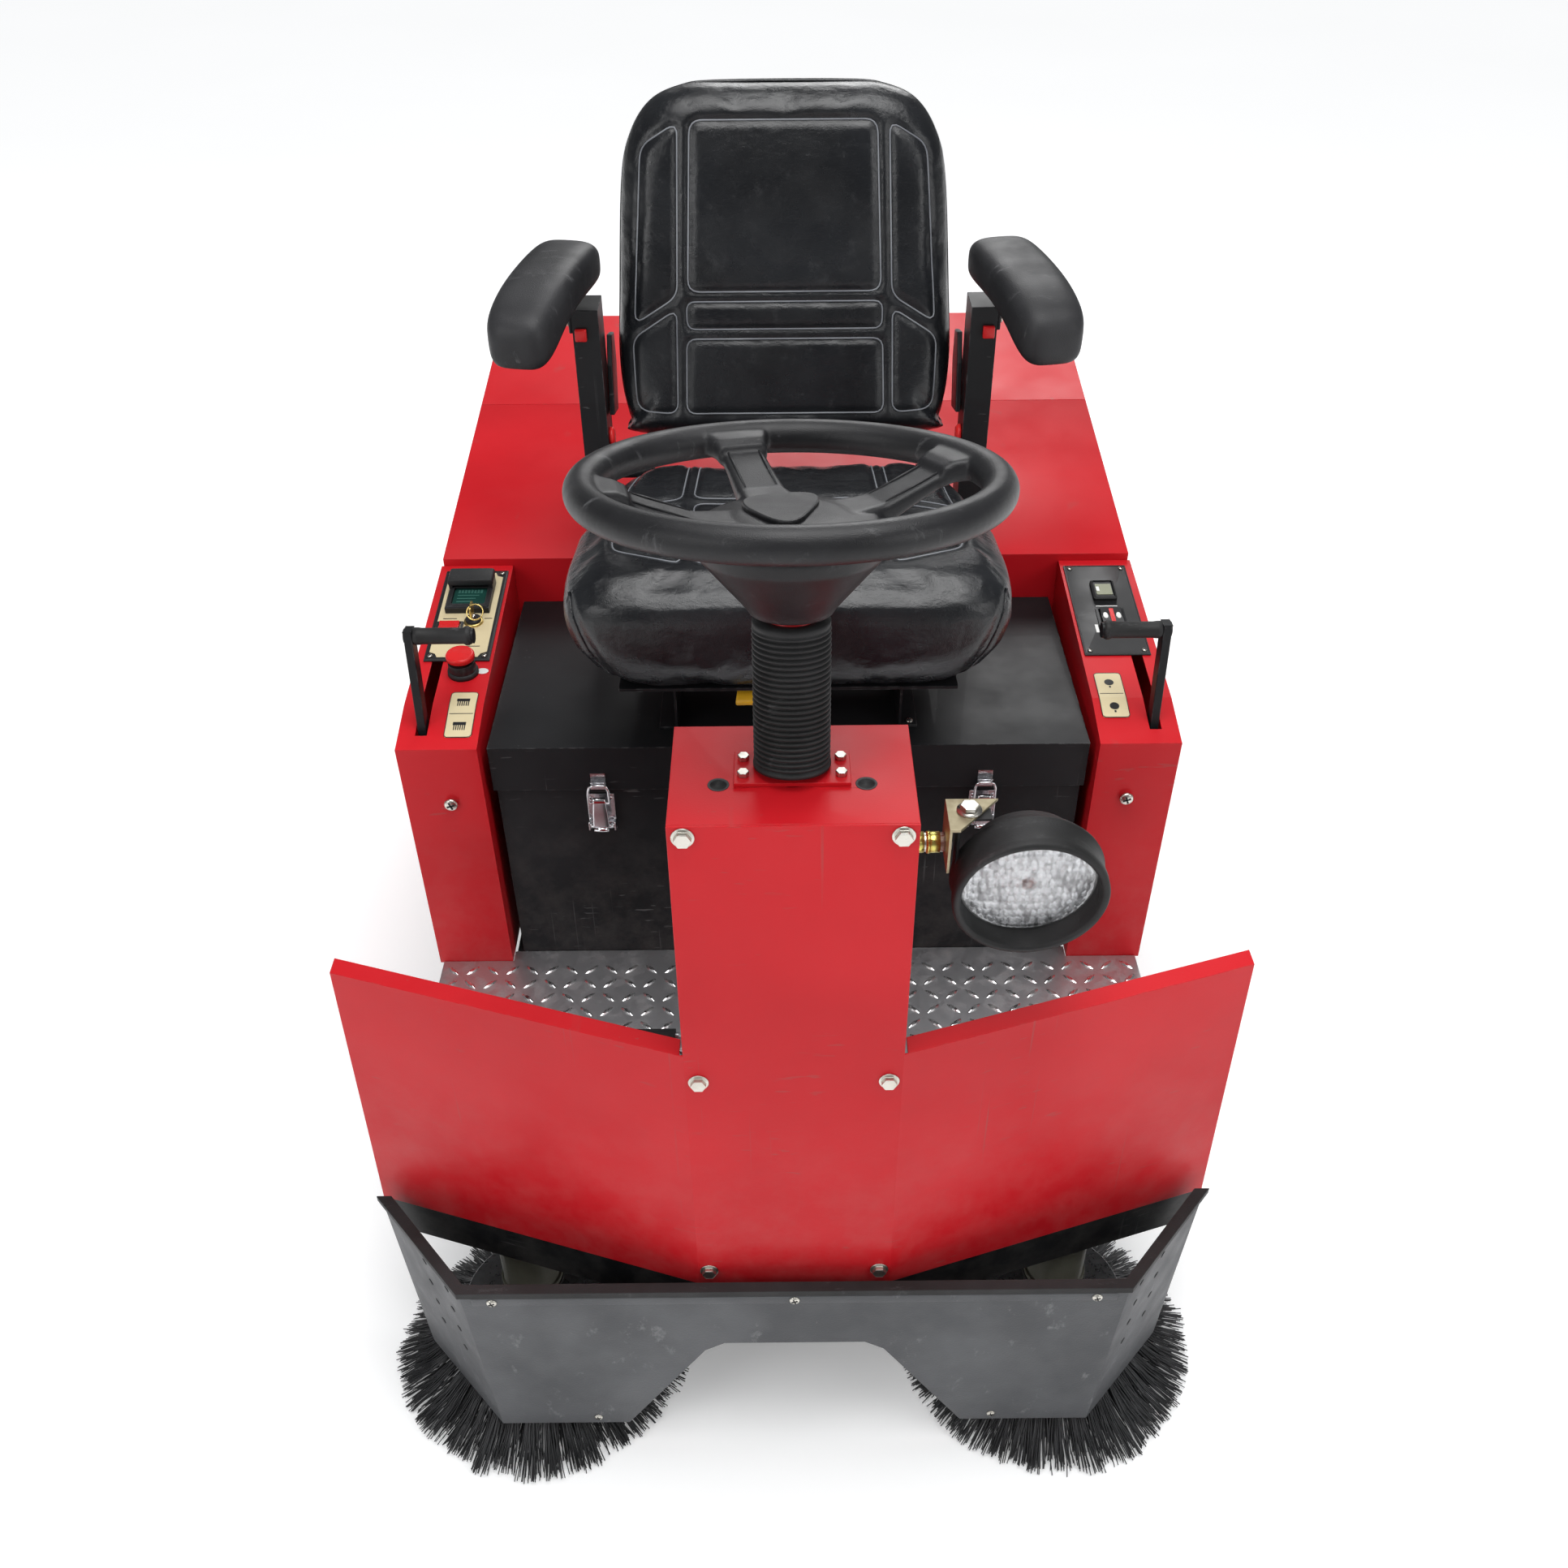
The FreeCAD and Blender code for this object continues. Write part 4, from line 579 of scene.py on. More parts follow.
def smooth_loop(points, per_side=8):
    """A closed smooth curve through 2D points."""
    count = len(points)
    loop = []
    for i in range(count):
        p0, p1, p2, p3 = (Vector(points[(i + k) % count]) for k in (-1, 0, 1, 2))
        for step in range(per_side):
            t = step / per_side
            bend = (2 * p0 - 5 * p1 + 4 * p2 - p3) * t * t + (3 * p1 - p0 - 3 * p2 + p3) * t ** 3
            loop.append(0.5 * (2 * p1 + (p2 - p0) * t + bend))
    return loop


def round_polygon(corners, radius, steps=5):
    """A closed outline whose corners are rounded off."""
    count = len(corners)
    loop = []
    for i in range(count):
        before, corner, after = (Vector(corners[(i + k) % count]) for k in (-1, 0, 1))
        start = corner + (before - corner).normalized() * min(radius, (before - corner).length * 0.45)
        end = corner + (after - corner).normalized() * min(radius, (after - corner).length * 0.45)
        for step in range(steps + 1):
            t = step / steps
            loop.append(start * (1 - t) ** 2 + corner * 2 * t * (1 - t) + end * t * t)
    return loop


def resample(loop, spacing, closed=True):
    """Points at even spacing along a 2D or 3D line."""
    points = list(loop) + ([loop[0]] if closed else [])
    result = []
    carry = 0.0
    for start, end in zip(points, points[1:]):
        length = (end - start).length
        at = carry
        while at < length:
            result.append(start.lerp(end, at / length))
            at += spacing
        carry = at - length
    return result


def swell(item, cap, grow):
    """Inflate a closed pad with cloth, keeping each point within cap of where it began."""
    modifier(item, "REMESH", mode="VOXEL", voxel_size=0.0055)
    apply_modifiers(item)
    start = [vertex.co.copy() for vertex in item.data.vertices]
    cloth = modifier(item, "CLOTH")
    cloth.settings.quality = 5
    cloth.settings.mass = 0.2
    cloth.settings.tension_stiffness = 12
    cloth.settings.compression_stiffness = 12
    cloth.settings.bending_stiffness = 0.4
    cloth.settings.shrink_min = -grow
    cloth.settings.use_pressure = True
    cloth.settings.uniform_pressure_force = 4
    cloth.settings.effector_weights.gravity = 0
    scene = bpy.context.scene
    for frame_number in range(1, 21):
        scene.frame_set(frame_number)
    apply_modifiers(item)
    scene.frame_set(1)
    for vertex, origin in zip(item.data.vertices, start):
        moved = vertex.co - origin
        if moved.length > cap:
            vertex.co = origin + moved * (cap / moved.length)
    modifier(item, "SMOOTH", factor=0.5, iterations=3)
    modifier(item, "SUBSURF", levels=1, render_levels=1)
    apply_modifiers(item)
    return shade(item)


def emboss(item, place, outlines, depth, width):
    """Press welded lines into the face of a pad that looks along the local Z of place."""
    points = [p for outline in outlines for p in resample(outline, 0.002)]
    tree = KDTree(len(points))
    for index, point in enumerate(points):
        tree.insert((point[0], point[1], 0), index)
    tree.balance()
    back = place.inverted()
    outward = (place.to_3x3() @ Vector((0, 0, 1))).normalized()
    normals = [vertex.normal.copy() for vertex in item.data.vertices]
    for vertex, normal in zip(item.data.vertices, normals):
        if normal.dot(outward) < 0.3:
            continue
        local = back @ vertex.co
        distance = tree.find((local.x, local.y, 0))[2]
        vertex.co -= outward * depth * math.exp(-((distance / width) ** 2))


def trace(name, item, place, outlines, radius, material):
    """Thin raised lines laid on a pad's face, which looks along the local Z of place."""
    skin = surface_of(item)
    outward = (place.to_3x3() @ Vector((0, 0, 1))).normalized()
    lines = []
    for outline, closed in outlines:
        path = []
        for point in resample(outline, 0.005, closed):
            origin = place @ Vector((point[0], point[1], 0.3))
            hit = skin.ray_cast(origin, -outward)[0]
            if hit is not None:
                path.append(hit + outward * 0.15 * radius)
        lines.append(tube(name, path, radius, material, 6, closed))
    return join(name, lines)


def mirror(outline):
    """The same outline on the other side."""
    return [Vector((-p[0], p[1])) for p in outline]


def seat_cushion():
    """Seat pad: rolled front, tucked underside, pulled-in rear and welded panel lines."""
    levels = [
        # height, front half width, rear half width, front y, rear y
        (0.7575, 0.192, 0.178, -0.250, 0.046),
        (0.762, 0.204, 0.186, -0.263, 0.050),
        (0.785, 0.232, 0.196, -0.285, 0.054),
        (0.815, 0.251, 0.203, -0.300, 0.057),
        (0.842, 0.259, 0.205, -0.307, 0.058),
        (0.864, 0.259, 0.204, -0.308, 0.057),
        (0.880, 0.254, 0.200, -0.303, 0.054),
        (0.891, 0.240, 0.190, -0.289, 0.046),
        (0.8965, 0.212, 0.170, -0.260, 0.030),
        (0.8975, 0.156, 0.130, -0.200, -0.010),
        (0.8955, 0.080, 0.070, -0.150, -0.070),
    ]
    corner_power = 0.30
    loops = []
    for height, front_half, rear_half, front, rear in levels:
        loop = []
        middle, reach = (front + rear) / 2, (rear - front) / 2
        for turn in turns(120):
            c, s = math.cos(turn), math.sin(turn)
            y = middle + reach * boxy(s, corner_power)
            share = (y - front) / (rear - front)
            half = front_half + (rear_half - front_half) * max(0, share - 0.45) / 0.55
            loop.append((half * boxy(c, corner_power), y, height))
        loops.append(loop)
    pad = swell(rings("seat_cushion_pad", loops, VINYL), 0.007, 0.012)
    top = Matrix.Translation((0, 0, 0.9))
    centre_front = round_polygon(
        [(-0.104, -0.236), (0.104, -0.236), (0.109, -0.088), (-0.109, -0.088)], 0.014)
    centre_rear = round_polygon([(-0.110, -0.074), (0.110, -0.074), (0.104, 0.034), (-0.104, 0.034)], 0.014)
    side_front = round_polygon([(0.119, -0.236), (0.196, -0.205), (0.203, -0.118), (0.123, -0.092)], 0.012)
    side_rear = round_polygon([(0.124, -0.077), (0.203, -0.103), (0.178, 0.020), (0.118, 0.032)], 0.012)
    panels = [centre_front, centre_rear, side_front, side_rear, mirror(side_front), mirror(side_rear)]
    emboss(pad, top, panels, 0.0030, 0.0055)
    # The traced weld lines take the pale grey seam colour: painted highlight.
    lines = trace("seat_cushion_lines", pad, top, [(panel, True) for panel in panels], 0.0010, SEAM_HIGHLIGHT)
    ahead = Matrix.Translation((0, -0.3, 0)) @ Matrix.Rotation(math.radians(90), 4, "X")
    corner = [(0.244, 0.887), (0.238, 0.862), (0.223, 0.818), (0.206, 0.782), (0.195, 0.762)]
    corner = [Vector(p) for p in corner]
    emboss(pad, ahead, [corner, mirror(corner)], 0.0035, 0.006)
    welts = trace("seat_cushion_welts", pad, ahead, [(corner, False), (mirror(corner), False)], 0.0016, VINYL)
    seat_pan_top = 0.757
    for vertex in pad.data.vertices:
        vertex.co.z = max(vertex.co.z, seat_pan_top)
    fit(pad, "seat", "seat_vinyl", "seat_cushion")
    fit(lines, "seat", "seat_vinyl")
    fit(welts, "seat", "seat_vinyl")


def back_outline(inset):
    """Backrest outline in (x, height) above its foot."""
    half, length = 0.214 - inset, 0.406 - 0.8 * inset
    right = [(half - 0.040, 0.6 * inset), (half - 0.010, 0.020 + inset), (half, 0.090), (half - 0.004, 0.180)]
    right += [(half - 0.013, length - 0.100), (half - 0.026, length - 0.052), (half - 0.050, length - 0.020)]
    right += [(half - 0.085, length - 0.005), (half - 0.130, length)]
    return smooth_loop(right + [(-x, z) for x, z in reversed(right)], 7)


def backrest():
    """Backrest pad: rolled border round a flatter middle with welded panel lines."""
    layers = [(0.000, 0.062), (0.0, 0.045), (0.0025, 0.030), (0.008, 0.018), (0.018, 0.008)]
    layers += [(0.032, 0.003), (0.048, 0.004), (0.0585, 0.012)]
    loops = [[BACK @ Vector((p[0], depth, p[1])) for p in back_outline(inset)] for depth, inset in layers]
    pad = swell(rings("backrest_pad", loops, VINYL), 0.007, 0.012)
    face = BACK @ Matrix.Rotation(math.radians(90), 4, "X")
    middle = round_polygon([(-0.144, 0.052), (0.144, 0.052), (0.130, 0.360), (-0.130, 0.360)], 0.03)
    centre = round_polygon([(-0.116, 0.176), (0.116, 0.176), (0.108, 0.358), (-0.108, 0.358)], 0.014)
    band = round_polygon([(-0.118, 0.134), (0.118, 0.134), (0.118, 0.165), (-0.118, 0.165)], 0.010)
    lower = round_polygon([(-0.122, 0.036), (0.122, 0.036), (0.119, 0.123), (-0.119, 0.123)], 0.012)
    upper_side = round_polygon([(0.129, 0.171), (0.182, 0.140), (0.166, 0.332), (0.122, 0.356)], 0.013)
    lower_side = round_polygon([(0.133, 0.036), (0.184, 0.040), (0.185, 0.124), (0.130, 0.157)], 0.013)
    panels = [centre, band, lower, upper_side, lower_side, mirror(upper_side), mirror(lower_side)]
    emboss(pad, face, panels, 0.0030, 0.0055)
    emboss(pad, face, [middle], 0.0015, 0.03)
    # The traced weld lines take the pale grey seam colour: painted highlight.
    lines = trace("backrest_lines", pad, face, [(panel, True) for panel in panels], 0.0010, SEAM_HIGHLIGHT)
    fit(pad, "backrest", "seat_vinyl", "backrest_cushion")
    fit(lines, "backrest", "seat_vinyl")
    for side in (1, -1):
        x_low, x_high = sorted((side * 0.2142, side * 0.2205))
        outline = [(0.020, 0.032), (0.070, 0.032), (0.078, 0.090)]
        outline += [(0.066, 0.126), (0.034, 0.126), (0.022, 0.090)]
        loops = [[(x, y, z) for y, z in outline] for x in (x_low, x_high)]
        cheek = soften(rings("backrest_cheek", loops, BLACK, smooth=False), 0.0015)
        fit(put(cheek, BACK), "backrest", "black_paint")
    rim = [BACK @ Vector((p[0], 0.0605, p[1])) for p in back_outline(0.009)]
    welt = tube("backrest_welt", rim, 0.0028, VINYL, 8, True)
    fit(welt, "backrest", "seat_vinyl")


def armrest(side, name, body):
    """Moulded armrest with a drooping rounded nose on its steel side plate."""
    spine = [
        # along from the rear, centre height, half height, half width
        (0.000, 1.114, 0.010, 0.026),
        (0.003, 1.114, 0.019, 0.033),
        (0.010, 1.115, 0.024, 0.038),
        (0.040, 1.116, 0.0255, 0.040),
        (0.085, 1.116, 0.0250, 0.040),
        (0.130, 1.113, 0.0255, 0.040),
        (0.165, 1.107, 0.0275, 0.0395),
        (0.192, 1.099, 0.0300, 0.0385),
        (0.212, 1.093, 0.0300, 0.036),
        (0.224, 1.089, 0.0265, 0.031),
        (0.230, 1.087, 0.019, 0.023),
        (0.232, 1.086, 0.008, 0.010),
    ]
    loops = []
    for along, height, tall, wide in spine:
        loop = []
        for turn in turns(36):
            c, s = math.cos(turn), math.sin(turn)
            power = 0.62 if s > 0 else 0.5
            x = 0.040 + wide * boxy(c, power)
            loop.append((side * x, -along, height + tall * boxy(s, power)))
        loops.append(loop if side > 0 else list(reversed(loop)))
    pad = rings(f"{name}_pad", loops, ARM_FOAM)
    modifier(pad, "SUBSURF", levels=2, render_levels=2)
    apply_modifiers(pad)
    put(pad, Matrix.Translation((side * 0.213, 0.118, 0)) @ Matrix.Rotation(math.radians(side * 11), 4, "Z"))
    x_low, x_high = sorted((side * 0.2552, side * 0.260))
    plate_part = block(f"{name}_plate", (x_low, 0.084, 1.039), (x_high, 0.114, 1.097), BLACK, 0.0012)
    cap = put(lathe(f"{name}_cap", [(0, 0), (0.011, 0), (0.010, 0.003), (0, 0.004)], ZINC, 24),
              facing((side * 0.2602, ARMREST_PIVOT_Y, ARMREST_PIVOT_Z), (side, 0, 0)))
    fit(pad, body, "armrest_foam", name)
    fit(plate_part, body, "black_paint")
    fit(cap, body, "zinc_steel")


seat_cushion()
backrest()
armrest(1, "left_armrest", "left_armrest")
armrest(-1, "right_armrest", "right_armrest")


# ---- steering wheel and column --------------------------------------------------------------

SPOKE_HEADINGS = (108, 26, 190)


def spoke(heading):
    """One spoke: a flat bar that falls to the hub, under a moulded cuff that flares into the rim."""
    bar = [(0.045, 0.024, 0.198, 0.222), (0.075, 0.021, 0.206, 0.224), (0.110, 0.019, 0.222, 0.236),
           (0.140, 0.0185, 0.235, 0.2475), (0.160, 0.0185, 0.238, 0.250)]
    cuff = [(0.126, 0.0215, 0.230, 0.2465), (0.136, 0.0235, 0.2335, 0.2515), (0.148, 0.029, 0.235, 0.2535),
            (0.160, 0.042, 0.238, 0.252)]
    parts = []
    for stations in (bar, cuff):
        loops = []
        for reach, half, low, high in stations:
            outline = rounded_outline((-half, low), (half, high), 0.005, 3)
            loops.append([(reach, across, height) for across, height in outline])
        parts.append(put(rings("spoke", loops, WHEEL_GRIP), Matrix.Rotation(math.radians(heading), 4, "Z")))
    return parts


def steering_wheel():
    """Moulded wheel: round rim, three spokes and a deep hub cone, all one skin."""
    rim_radius, rim_height, rim_thickness = 0.162, 0.245, 0.0142
    rim = tube("rim", circle(rim_radius, rim_height, 120), rim_thickness, WHEEL_GRIP, 28, True)
    hub = [(0.034, 0.142), (0.037, 0.147), (0.041, 0.152), (0.062, 0.176), (0.076, 0.192), (0.080, 0.203)]
    hub += [(0.078, 0.212), (0.068, 0.219), (0.040, 0.2235), (0.001, 0.2245)]
    cone = lathe("hub", [(0.001, 0.142), *hub], WHEEL_GRIP, 64)
    parts = [rim, cone]
    for heading in SPOKE_HEADINGS:
        parts += spoke(heading)
    whole = join("steering_wheel_moulding", parts)
    modifier(whole, "REMESH", mode="VOXEL", voxel_size=0.0019)
    modifier(whole, "SMOOTH", factor=0.5, iterations=5)
    apply_modifiers(whole)
    shade(whole)
    whole.data.materials.clear()
    whole.data.materials.append(WHEEL_GRIP)
    corners = [(0.062 * math.cos(math.radians(a)), 0.062 * math.sin(math.radians(a))) for a in (58, 150, 270)]
    pad = plate("steering_wheel_pad", round_polygon(corners, 0.048, 10), 0.222, 0.2275, WHEEL_GRIP, 0.0015)
    lines = []
    for heading in SPOKE_HEADINGS:
        place = Matrix.Rotation(math.radians(heading), 4, "Z")
        for across in (-0.0135, 0.0135):
            path = [(0.078, across, 0.2245), (0.108, across, 0.2358), (0.125, across, 0.2418)]
            lines.append(put(tube("ridge", path, 0.0011, WHEEL_GRIP, 6), place))
    ridges = join("steering_wheel_ridges", lines)
    fit(put(whole, COLUMN), "steering_wheel", "black_rubber", "steering_wheel")
    for item in (pad, ridges):
        fit(put(item, COLUMN), "steering_wheel", "black_rubber")


def bellows():
    """Rubber bellows with rounded ridges and a plain cuff at each end."""
    ridges, low, high = 25, 0.011, 0.131
    profile = [(0.0225, 0.0065), (0.0335, 0.0065), (0.0335, 0.0095)]
    steps = 6
    for index in range(ridges * steps):
        share = index / steps
        wave = abs(math.sin(math.pi * share))
        profile.append((0.0288 + 0.0042 * wave ** 0.7, low + (high - low) * share / ridges))
    profile += [(0.0325, 0.132), (0.0325, 0.1362), (0.0225, 0.1362)]
    sleeve = put(lathe("column_bellows_sleeve", profile, RUBBER, 72), COLUMN)
    fit(sleeve, "chassis", "black_rubber", "column_bellows")


steering_wheel()
bellows()


# ---- bristles -------------------------------------------------------------------------------

def filaments(name, strands, thickness, material):
    """Many thin tapered strands in one mesh; each strand is a list of points."""
    vertices, faces = [], []
    for path in strands:
        count = len(path)
        base = len(vertices)
        along = (path[-1] - path[0]).normalized()
        side_a = along.orthogonal().normalized()
        side_b = along.cross(side_a)
        for i, point in enumerate(path):
            size = thickness * (1 - 0.35 * i / (count - 1))
            for turn in (0, 2.094, 4.189):
                vertices.append(point + (side_a * math.cos(turn) + side_b * math.sin(turn)) * size)
        for i in range(count - 1):
            for k in range(3):
                a, b = base + 3 * i + k, base + 3 * i + (k + 1) % 3
                faces.append((a, b, b + 3, a + 3))
        faces.append((base + 3 * count - 3, base + 3 * count - 2, base + 3 * count - 1))
    return build(name, vertices, faces, material)


def side_bristles(side, name, body):
    """Tufts that leave the broom disc, splay outwards and bend where they touch the floor."""
    x, y = side * 0.320, -0.637
    rows = [(0.060, 26, 0.150, 0.40), (0.072, 34, 0.172, 0.2), (0.083, 40, 0.188, 0.0)]
    strands = []
    for start, tufts, reach, offset in rows:
        for tuft in range(tufts):
            heading = 2 * math.pi * (tuft + offset) / tufts + rng.uniform(-0.03, 0.03)
            tuft_reach = reach + rng.uniform(-0.006, 0.004)
            droop = rng.uniform(0.85, 1.0)
            for _ in range(34):
                spread = rng.gauss(0, 0.055)
                root_turn = heading + rng.uniform(-0.045, 0.045)
                tip_turn = heading + spread
                length = tuft_reach + rng.uniform(-0.012, 0.002)
                path = []
                for t in (0, 0.25, 0.5, 0.75, 1):
                    turn = root_turn + (tip_turn - root_turn) * t
                    radius = start + (length - start) * (0.35 * t + 0.65 * t * t) * droop ** (1 - t)
                    height = 0.100 * (1 - t) ** 1.25 + 0.0022 + rng.uniform(0, 0.006) * t
                    path.append(Vector((x + radius * math.cos(turn), y + radius * math.sin(turn), height)))
                strands.append(path)
    item = filaments(f"{name}_tufts", strands, 0.0011, BRISTLE)
    fit(item, body, "bristle", name)
    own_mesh(item)


def main_broom():
    """Roller broom: a core tube with rows of tufts that wind round it."""
    y, z, half = 0.280, 0.130, 0.263
    turn_x = Matrix.Translation((0, y, z)) @ Matrix.Rotation(math.radians(90), 4, "Y")
    core = lathe("main_broom_core", [(0.0, -half), (0.045, -half), (0.045, half), (0.0, half)], BATTERY, 48)
    shaft = lathe("main_broom_shaft", [(0, -half - 0.02), (0.0119, -half - 0.02), (0.0119, half + 0.02),
                                       (0, half + 0.02)], STEEL, 24)
    strands = []
    for row in range(16):
        for tuft in range(36):
            across = -half + 0.006 + (2 * half - 0.012) * tuft / 35
            heading = 2 * math.pi * row / 16 + 2.2 * abs(across) / half
            for _ in range(7):
                lean = heading + rng.uniform(-0.07, 0.07)
                shift = across + rng.uniform(-0.006, 0.006)
                reach = 0.127 + rng.uniform(-0.003, 0.001)
                path = []
                for radius in (0.044, 0.085, reach):
                    turn = heading + (lean - heading) * (radius - 0.044) / 0.083
                    shifted = across + (shift - across) * (radius - 0.044) / 0.083
                    path.append(Vector((shifted, y + radius * math.cos(turn), z + radius * math.sin(turn))))
                strands.append(path)
    tufts = filaments("main_broom_tufts", strands, 0.0016, BRISTLE)
    fit(tufts, "main_broom", "bristle", "main_broom")
    fit(put(core, turn_x), "main_broom", "wheel_polymer")
    fit(put(shaft, turn_x), "main_broom", "bare_steel")


side_bristles(1, "left_bristles", "left_broom")
side_bristles(-1, "right_bristles", "right_broom")
main_broom()


# ---- deck tread -----------------------------------------------------------------------------

def tread_lugs():
    """Lens-shaped raised lugs on the floor plate, each at right angles to its neighbours."""
    deck = surface_of(NODES["deck_plate"])
    low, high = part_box("deck_plate")
    pitch, half_length, half_width, rise = 0.0265, 0.0112, 0.0037, 0.0016
    vertices, faces = [], []
    for row in range(int((high.y - low.y) / pitch)):
        for column in range(-18, 19):
            x, y = column * pitch, low.y + 0.012 + row * pitch
            turn = math.radians(45 if (row + column) % 2 else -45)
            c, s = math.cos(turn), math.sin(turn)
            ends = [(x + c * half_length * k, y + s * half_length * k) for k in (-1.2, 0, 1.2)]
            flat = [deck.ray_cast(Vector((a, b, 0.4)), Vector((0, 0, -1)))[0] for a, b in ends]
            if any(hit is None or abs(hit.z - DECK_TOP) > 0.0005 for hit in flat):
                continue
            base = len(vertices)
            for level, size in ((0.0, 1.0), (rise, 0.55)):
                for a in turns(16):
                    along = half_length * size * math.cos(a)
                    across = half_width * size * math.sin(a) * (1 - 0.35 * math.cos(a) ** 2)
                    place = (x + along * c - across * s, y + along * s + across * c, DECK_TOP + level)
                    vertices.append(place)
            for k in range(16):
                n = (k + 1) % 16
                faces.append((base + k, base + n, base + 16 + n, base + 16 + k))
            faces.append(tuple(base + 16 + k for k in range(16)))
    fit(build("deck_tread_lugs", vertices, faces, TREAD_HIGH, False), "chassis", "tread_aluminium")


# ---- consoles -------------------------------------------------------------------------------

def panel_screws(place, lift):
    """Four cross-head screws near the corners of an instrument plate."""
    for x in (-0.0345, 0.0345):
        for y in (0.0085, 0.1915):
            head = screw("panel_screw", place @ Matrix.Translation((x, y, lift)), 0.0032)
            fit(head, "chassis", "zinc_steel")


def right_console_panel():
    """Cream instrument plate with notched corners, printed marks and screws."""
    place = on_console(*GAUGE_PANEL)
    corner, half, low, high = 0.0105, 0.0365, 0.0065, 0.1935
    outline = []
    for x_sign, y_edge, y_step in ((-1, low, 1), (1, low, 1), (1, high, -1), (-1, high, -1)):
        across = Vector((x_sign * (half - corner), y_edge))
        along = Vector((x_sign * half, y_edge + y_step * corner))
        elbow = Vector((x_sign * (half - 0.7 * corner), y_edge + y_step * 0.7 * corner))
        bend = [across, elbow, along]
        outline += bend if x_sign * y_step > 0 else list(reversed(bend))
    cream = plate("gauge_panel_face", outline, 0.0024, 0.0029, CREAM)
    fit(put(cream, place), "chassis", "switch_plastic")
    marks = []
    for start, end in (((-0.034, 0.076), (-0.006, 0.0775)), ((-0.034, 0.046), (-0.006, 0.0475)),
                       ((-0.034, 0.0475), (-0.0325, 0.076)), ((-0.0075, 0.0475), (-0.006, 0.076)),
                       ((0.024, 0.088), (0.034, 0.0895)), ((-0.030, 0.088), (-0.012, 0.0895)),
                       ((-0.004, 0.028), (0.026, 0.0295))):
        marks.append(printed_bar(start, end, 0.0029, 0.0031, PANEL_BLACK))
    fit(put(join("gauge_panel_marks", marks), place), "chassis", "switch_plastic")
    panel_screws(place, 0.0028)


def gauge():
    """Charge gauge: sloping bezel, a dark green screen with its segments, and a visor behind."""
    place = on_console(-0.419, 0.002)
    rims = []
    for half, low, high, level in ((0.0278, 0.0015, 0.0455, 0.0111), (0.0272, 0.0022, 0.0455, 0.0122),
                                   (0.0222, 0.0090, 0.0550, 0.0120), (0.0214, 0.0100, 0.0545, 0.0086)):
        rims.append([(x, y, level) for x, y in rounded_outline((-half, low), (half, high), 0.003)])
    bezel = rings("gauge_bezel", rims, PANEL_BLACK, smooth=False, caps=False)
    window = rounded_outline((-0.0225, 0.0085), (0.0225, 0.0555), 0.002)
    screen = plate("gauge_screen", window, 0.0070, 0.0084, SCREEN)
    bars = []
    for index in range(8):
        x = -0.0165 + 0.0042 * index
        bars.append(printed_bar((x, 0.038), (x + 0.0028, 0.045), 0.0084, 0.0086, GLOW))
    for row in range(3):
        y = 0.018 + 0.007 * row
        bars.append(printed_bar((-0.0165, y), (0.004 + 0.004 * row, y + 0.0016), 0.0084, 0.0086, GLOW))
    for item in (bezel, screen, join("gauge_segments", bars)):
        fit(put(item, place), "chassis", "switch_plastic")
    arch = []
    for depth in (0.0430, 0.0560, 0.0715):
        outline = rounded_outline((-0.0300, 0.0165), (0.0300, 0.0245), 0.0036, 4)
        arch.append([(x, depth, z + 0.0030 * (1 - (x / 0.030) ** 2) * (z > 0.02)) for x, z in outline])
    brow = soften(rings("gauge_brow", arch, RUBBER), 0.001)
    fit(put(brow, place), "chassis", "switch_plastic")


def key_and_switches():
    """Ignition key with its ring and collar, and the frames round both rockers."""
    place = on_console(*KEY_HOLE)
    corners = [(-0.010, 0.013), (0.010, 0.013), (0.0115, 0.030), (-0.0115, 0.030)]
    bow = [Vector((0, p[0], p[1])) for p in round_polygon(corners, 0.006)]
    loops = [[p + Vector((x, 0, 0)) for p in bow] for x in (-0.0011, 0.0011)]
    plate_bow = rings("key_bow", loops, BRASS, smooth=False)
    plug = lathe("key_plug", [(0, 0.003), (0.0039, 0.003), (0.0039, 0.0135), (0, 0.0135)], CHROME, 24)
    key = put(join("ignition_key_blade", [plate_bow, plug]), place)
    fit(key, "ignition_key", "chrome_latch", "ignition_key")
    hoop = tube("key_ring", circle(0.0105, 0, 36), 0.0009, BRASS, 8, True)
    put(hoop, place @ Matrix.Translation((0.006, -0.009, 0.0245)) @ Matrix.Rotation(math.radians(34), 4, "X"))
    fit(hoop, "ignition_key", "chrome_latch")
    profile = [(0.0102, 0.0024), (0.0128, 0.0024), (0.0122, 0.0052), (0.0102, 0.0056)]
    collar = lathe("key_collar", profile, BRASS, 36)
    fit(put(collar, place), "chassis", "chrome_latch")
    for name, centre, half_x, half_y in (("light_switch_frame", LIGHT_SWITCH, 0.0145, 0.0095),
                                         ("horn_switch_frame", HORN_SWITCH, 0.0155, 0.0185)):
        outer = rounded_outline((-half_x - 0.003, -half_y - 0.003), (half_x + 0.003, half_y + 0.003), 0.002)
        inner = rounded_outline((-half_x, -half_y), (half_x, half_y), 0.001)
        levels = [(outer, 0.0024), (outer, 0.0046), (inner, 0.0052), (inner, 0.0026)]
        fit(put(surround(name, levels, PANEL_BLACK), on_console(*centre)), "chassis", "switch_plastic")


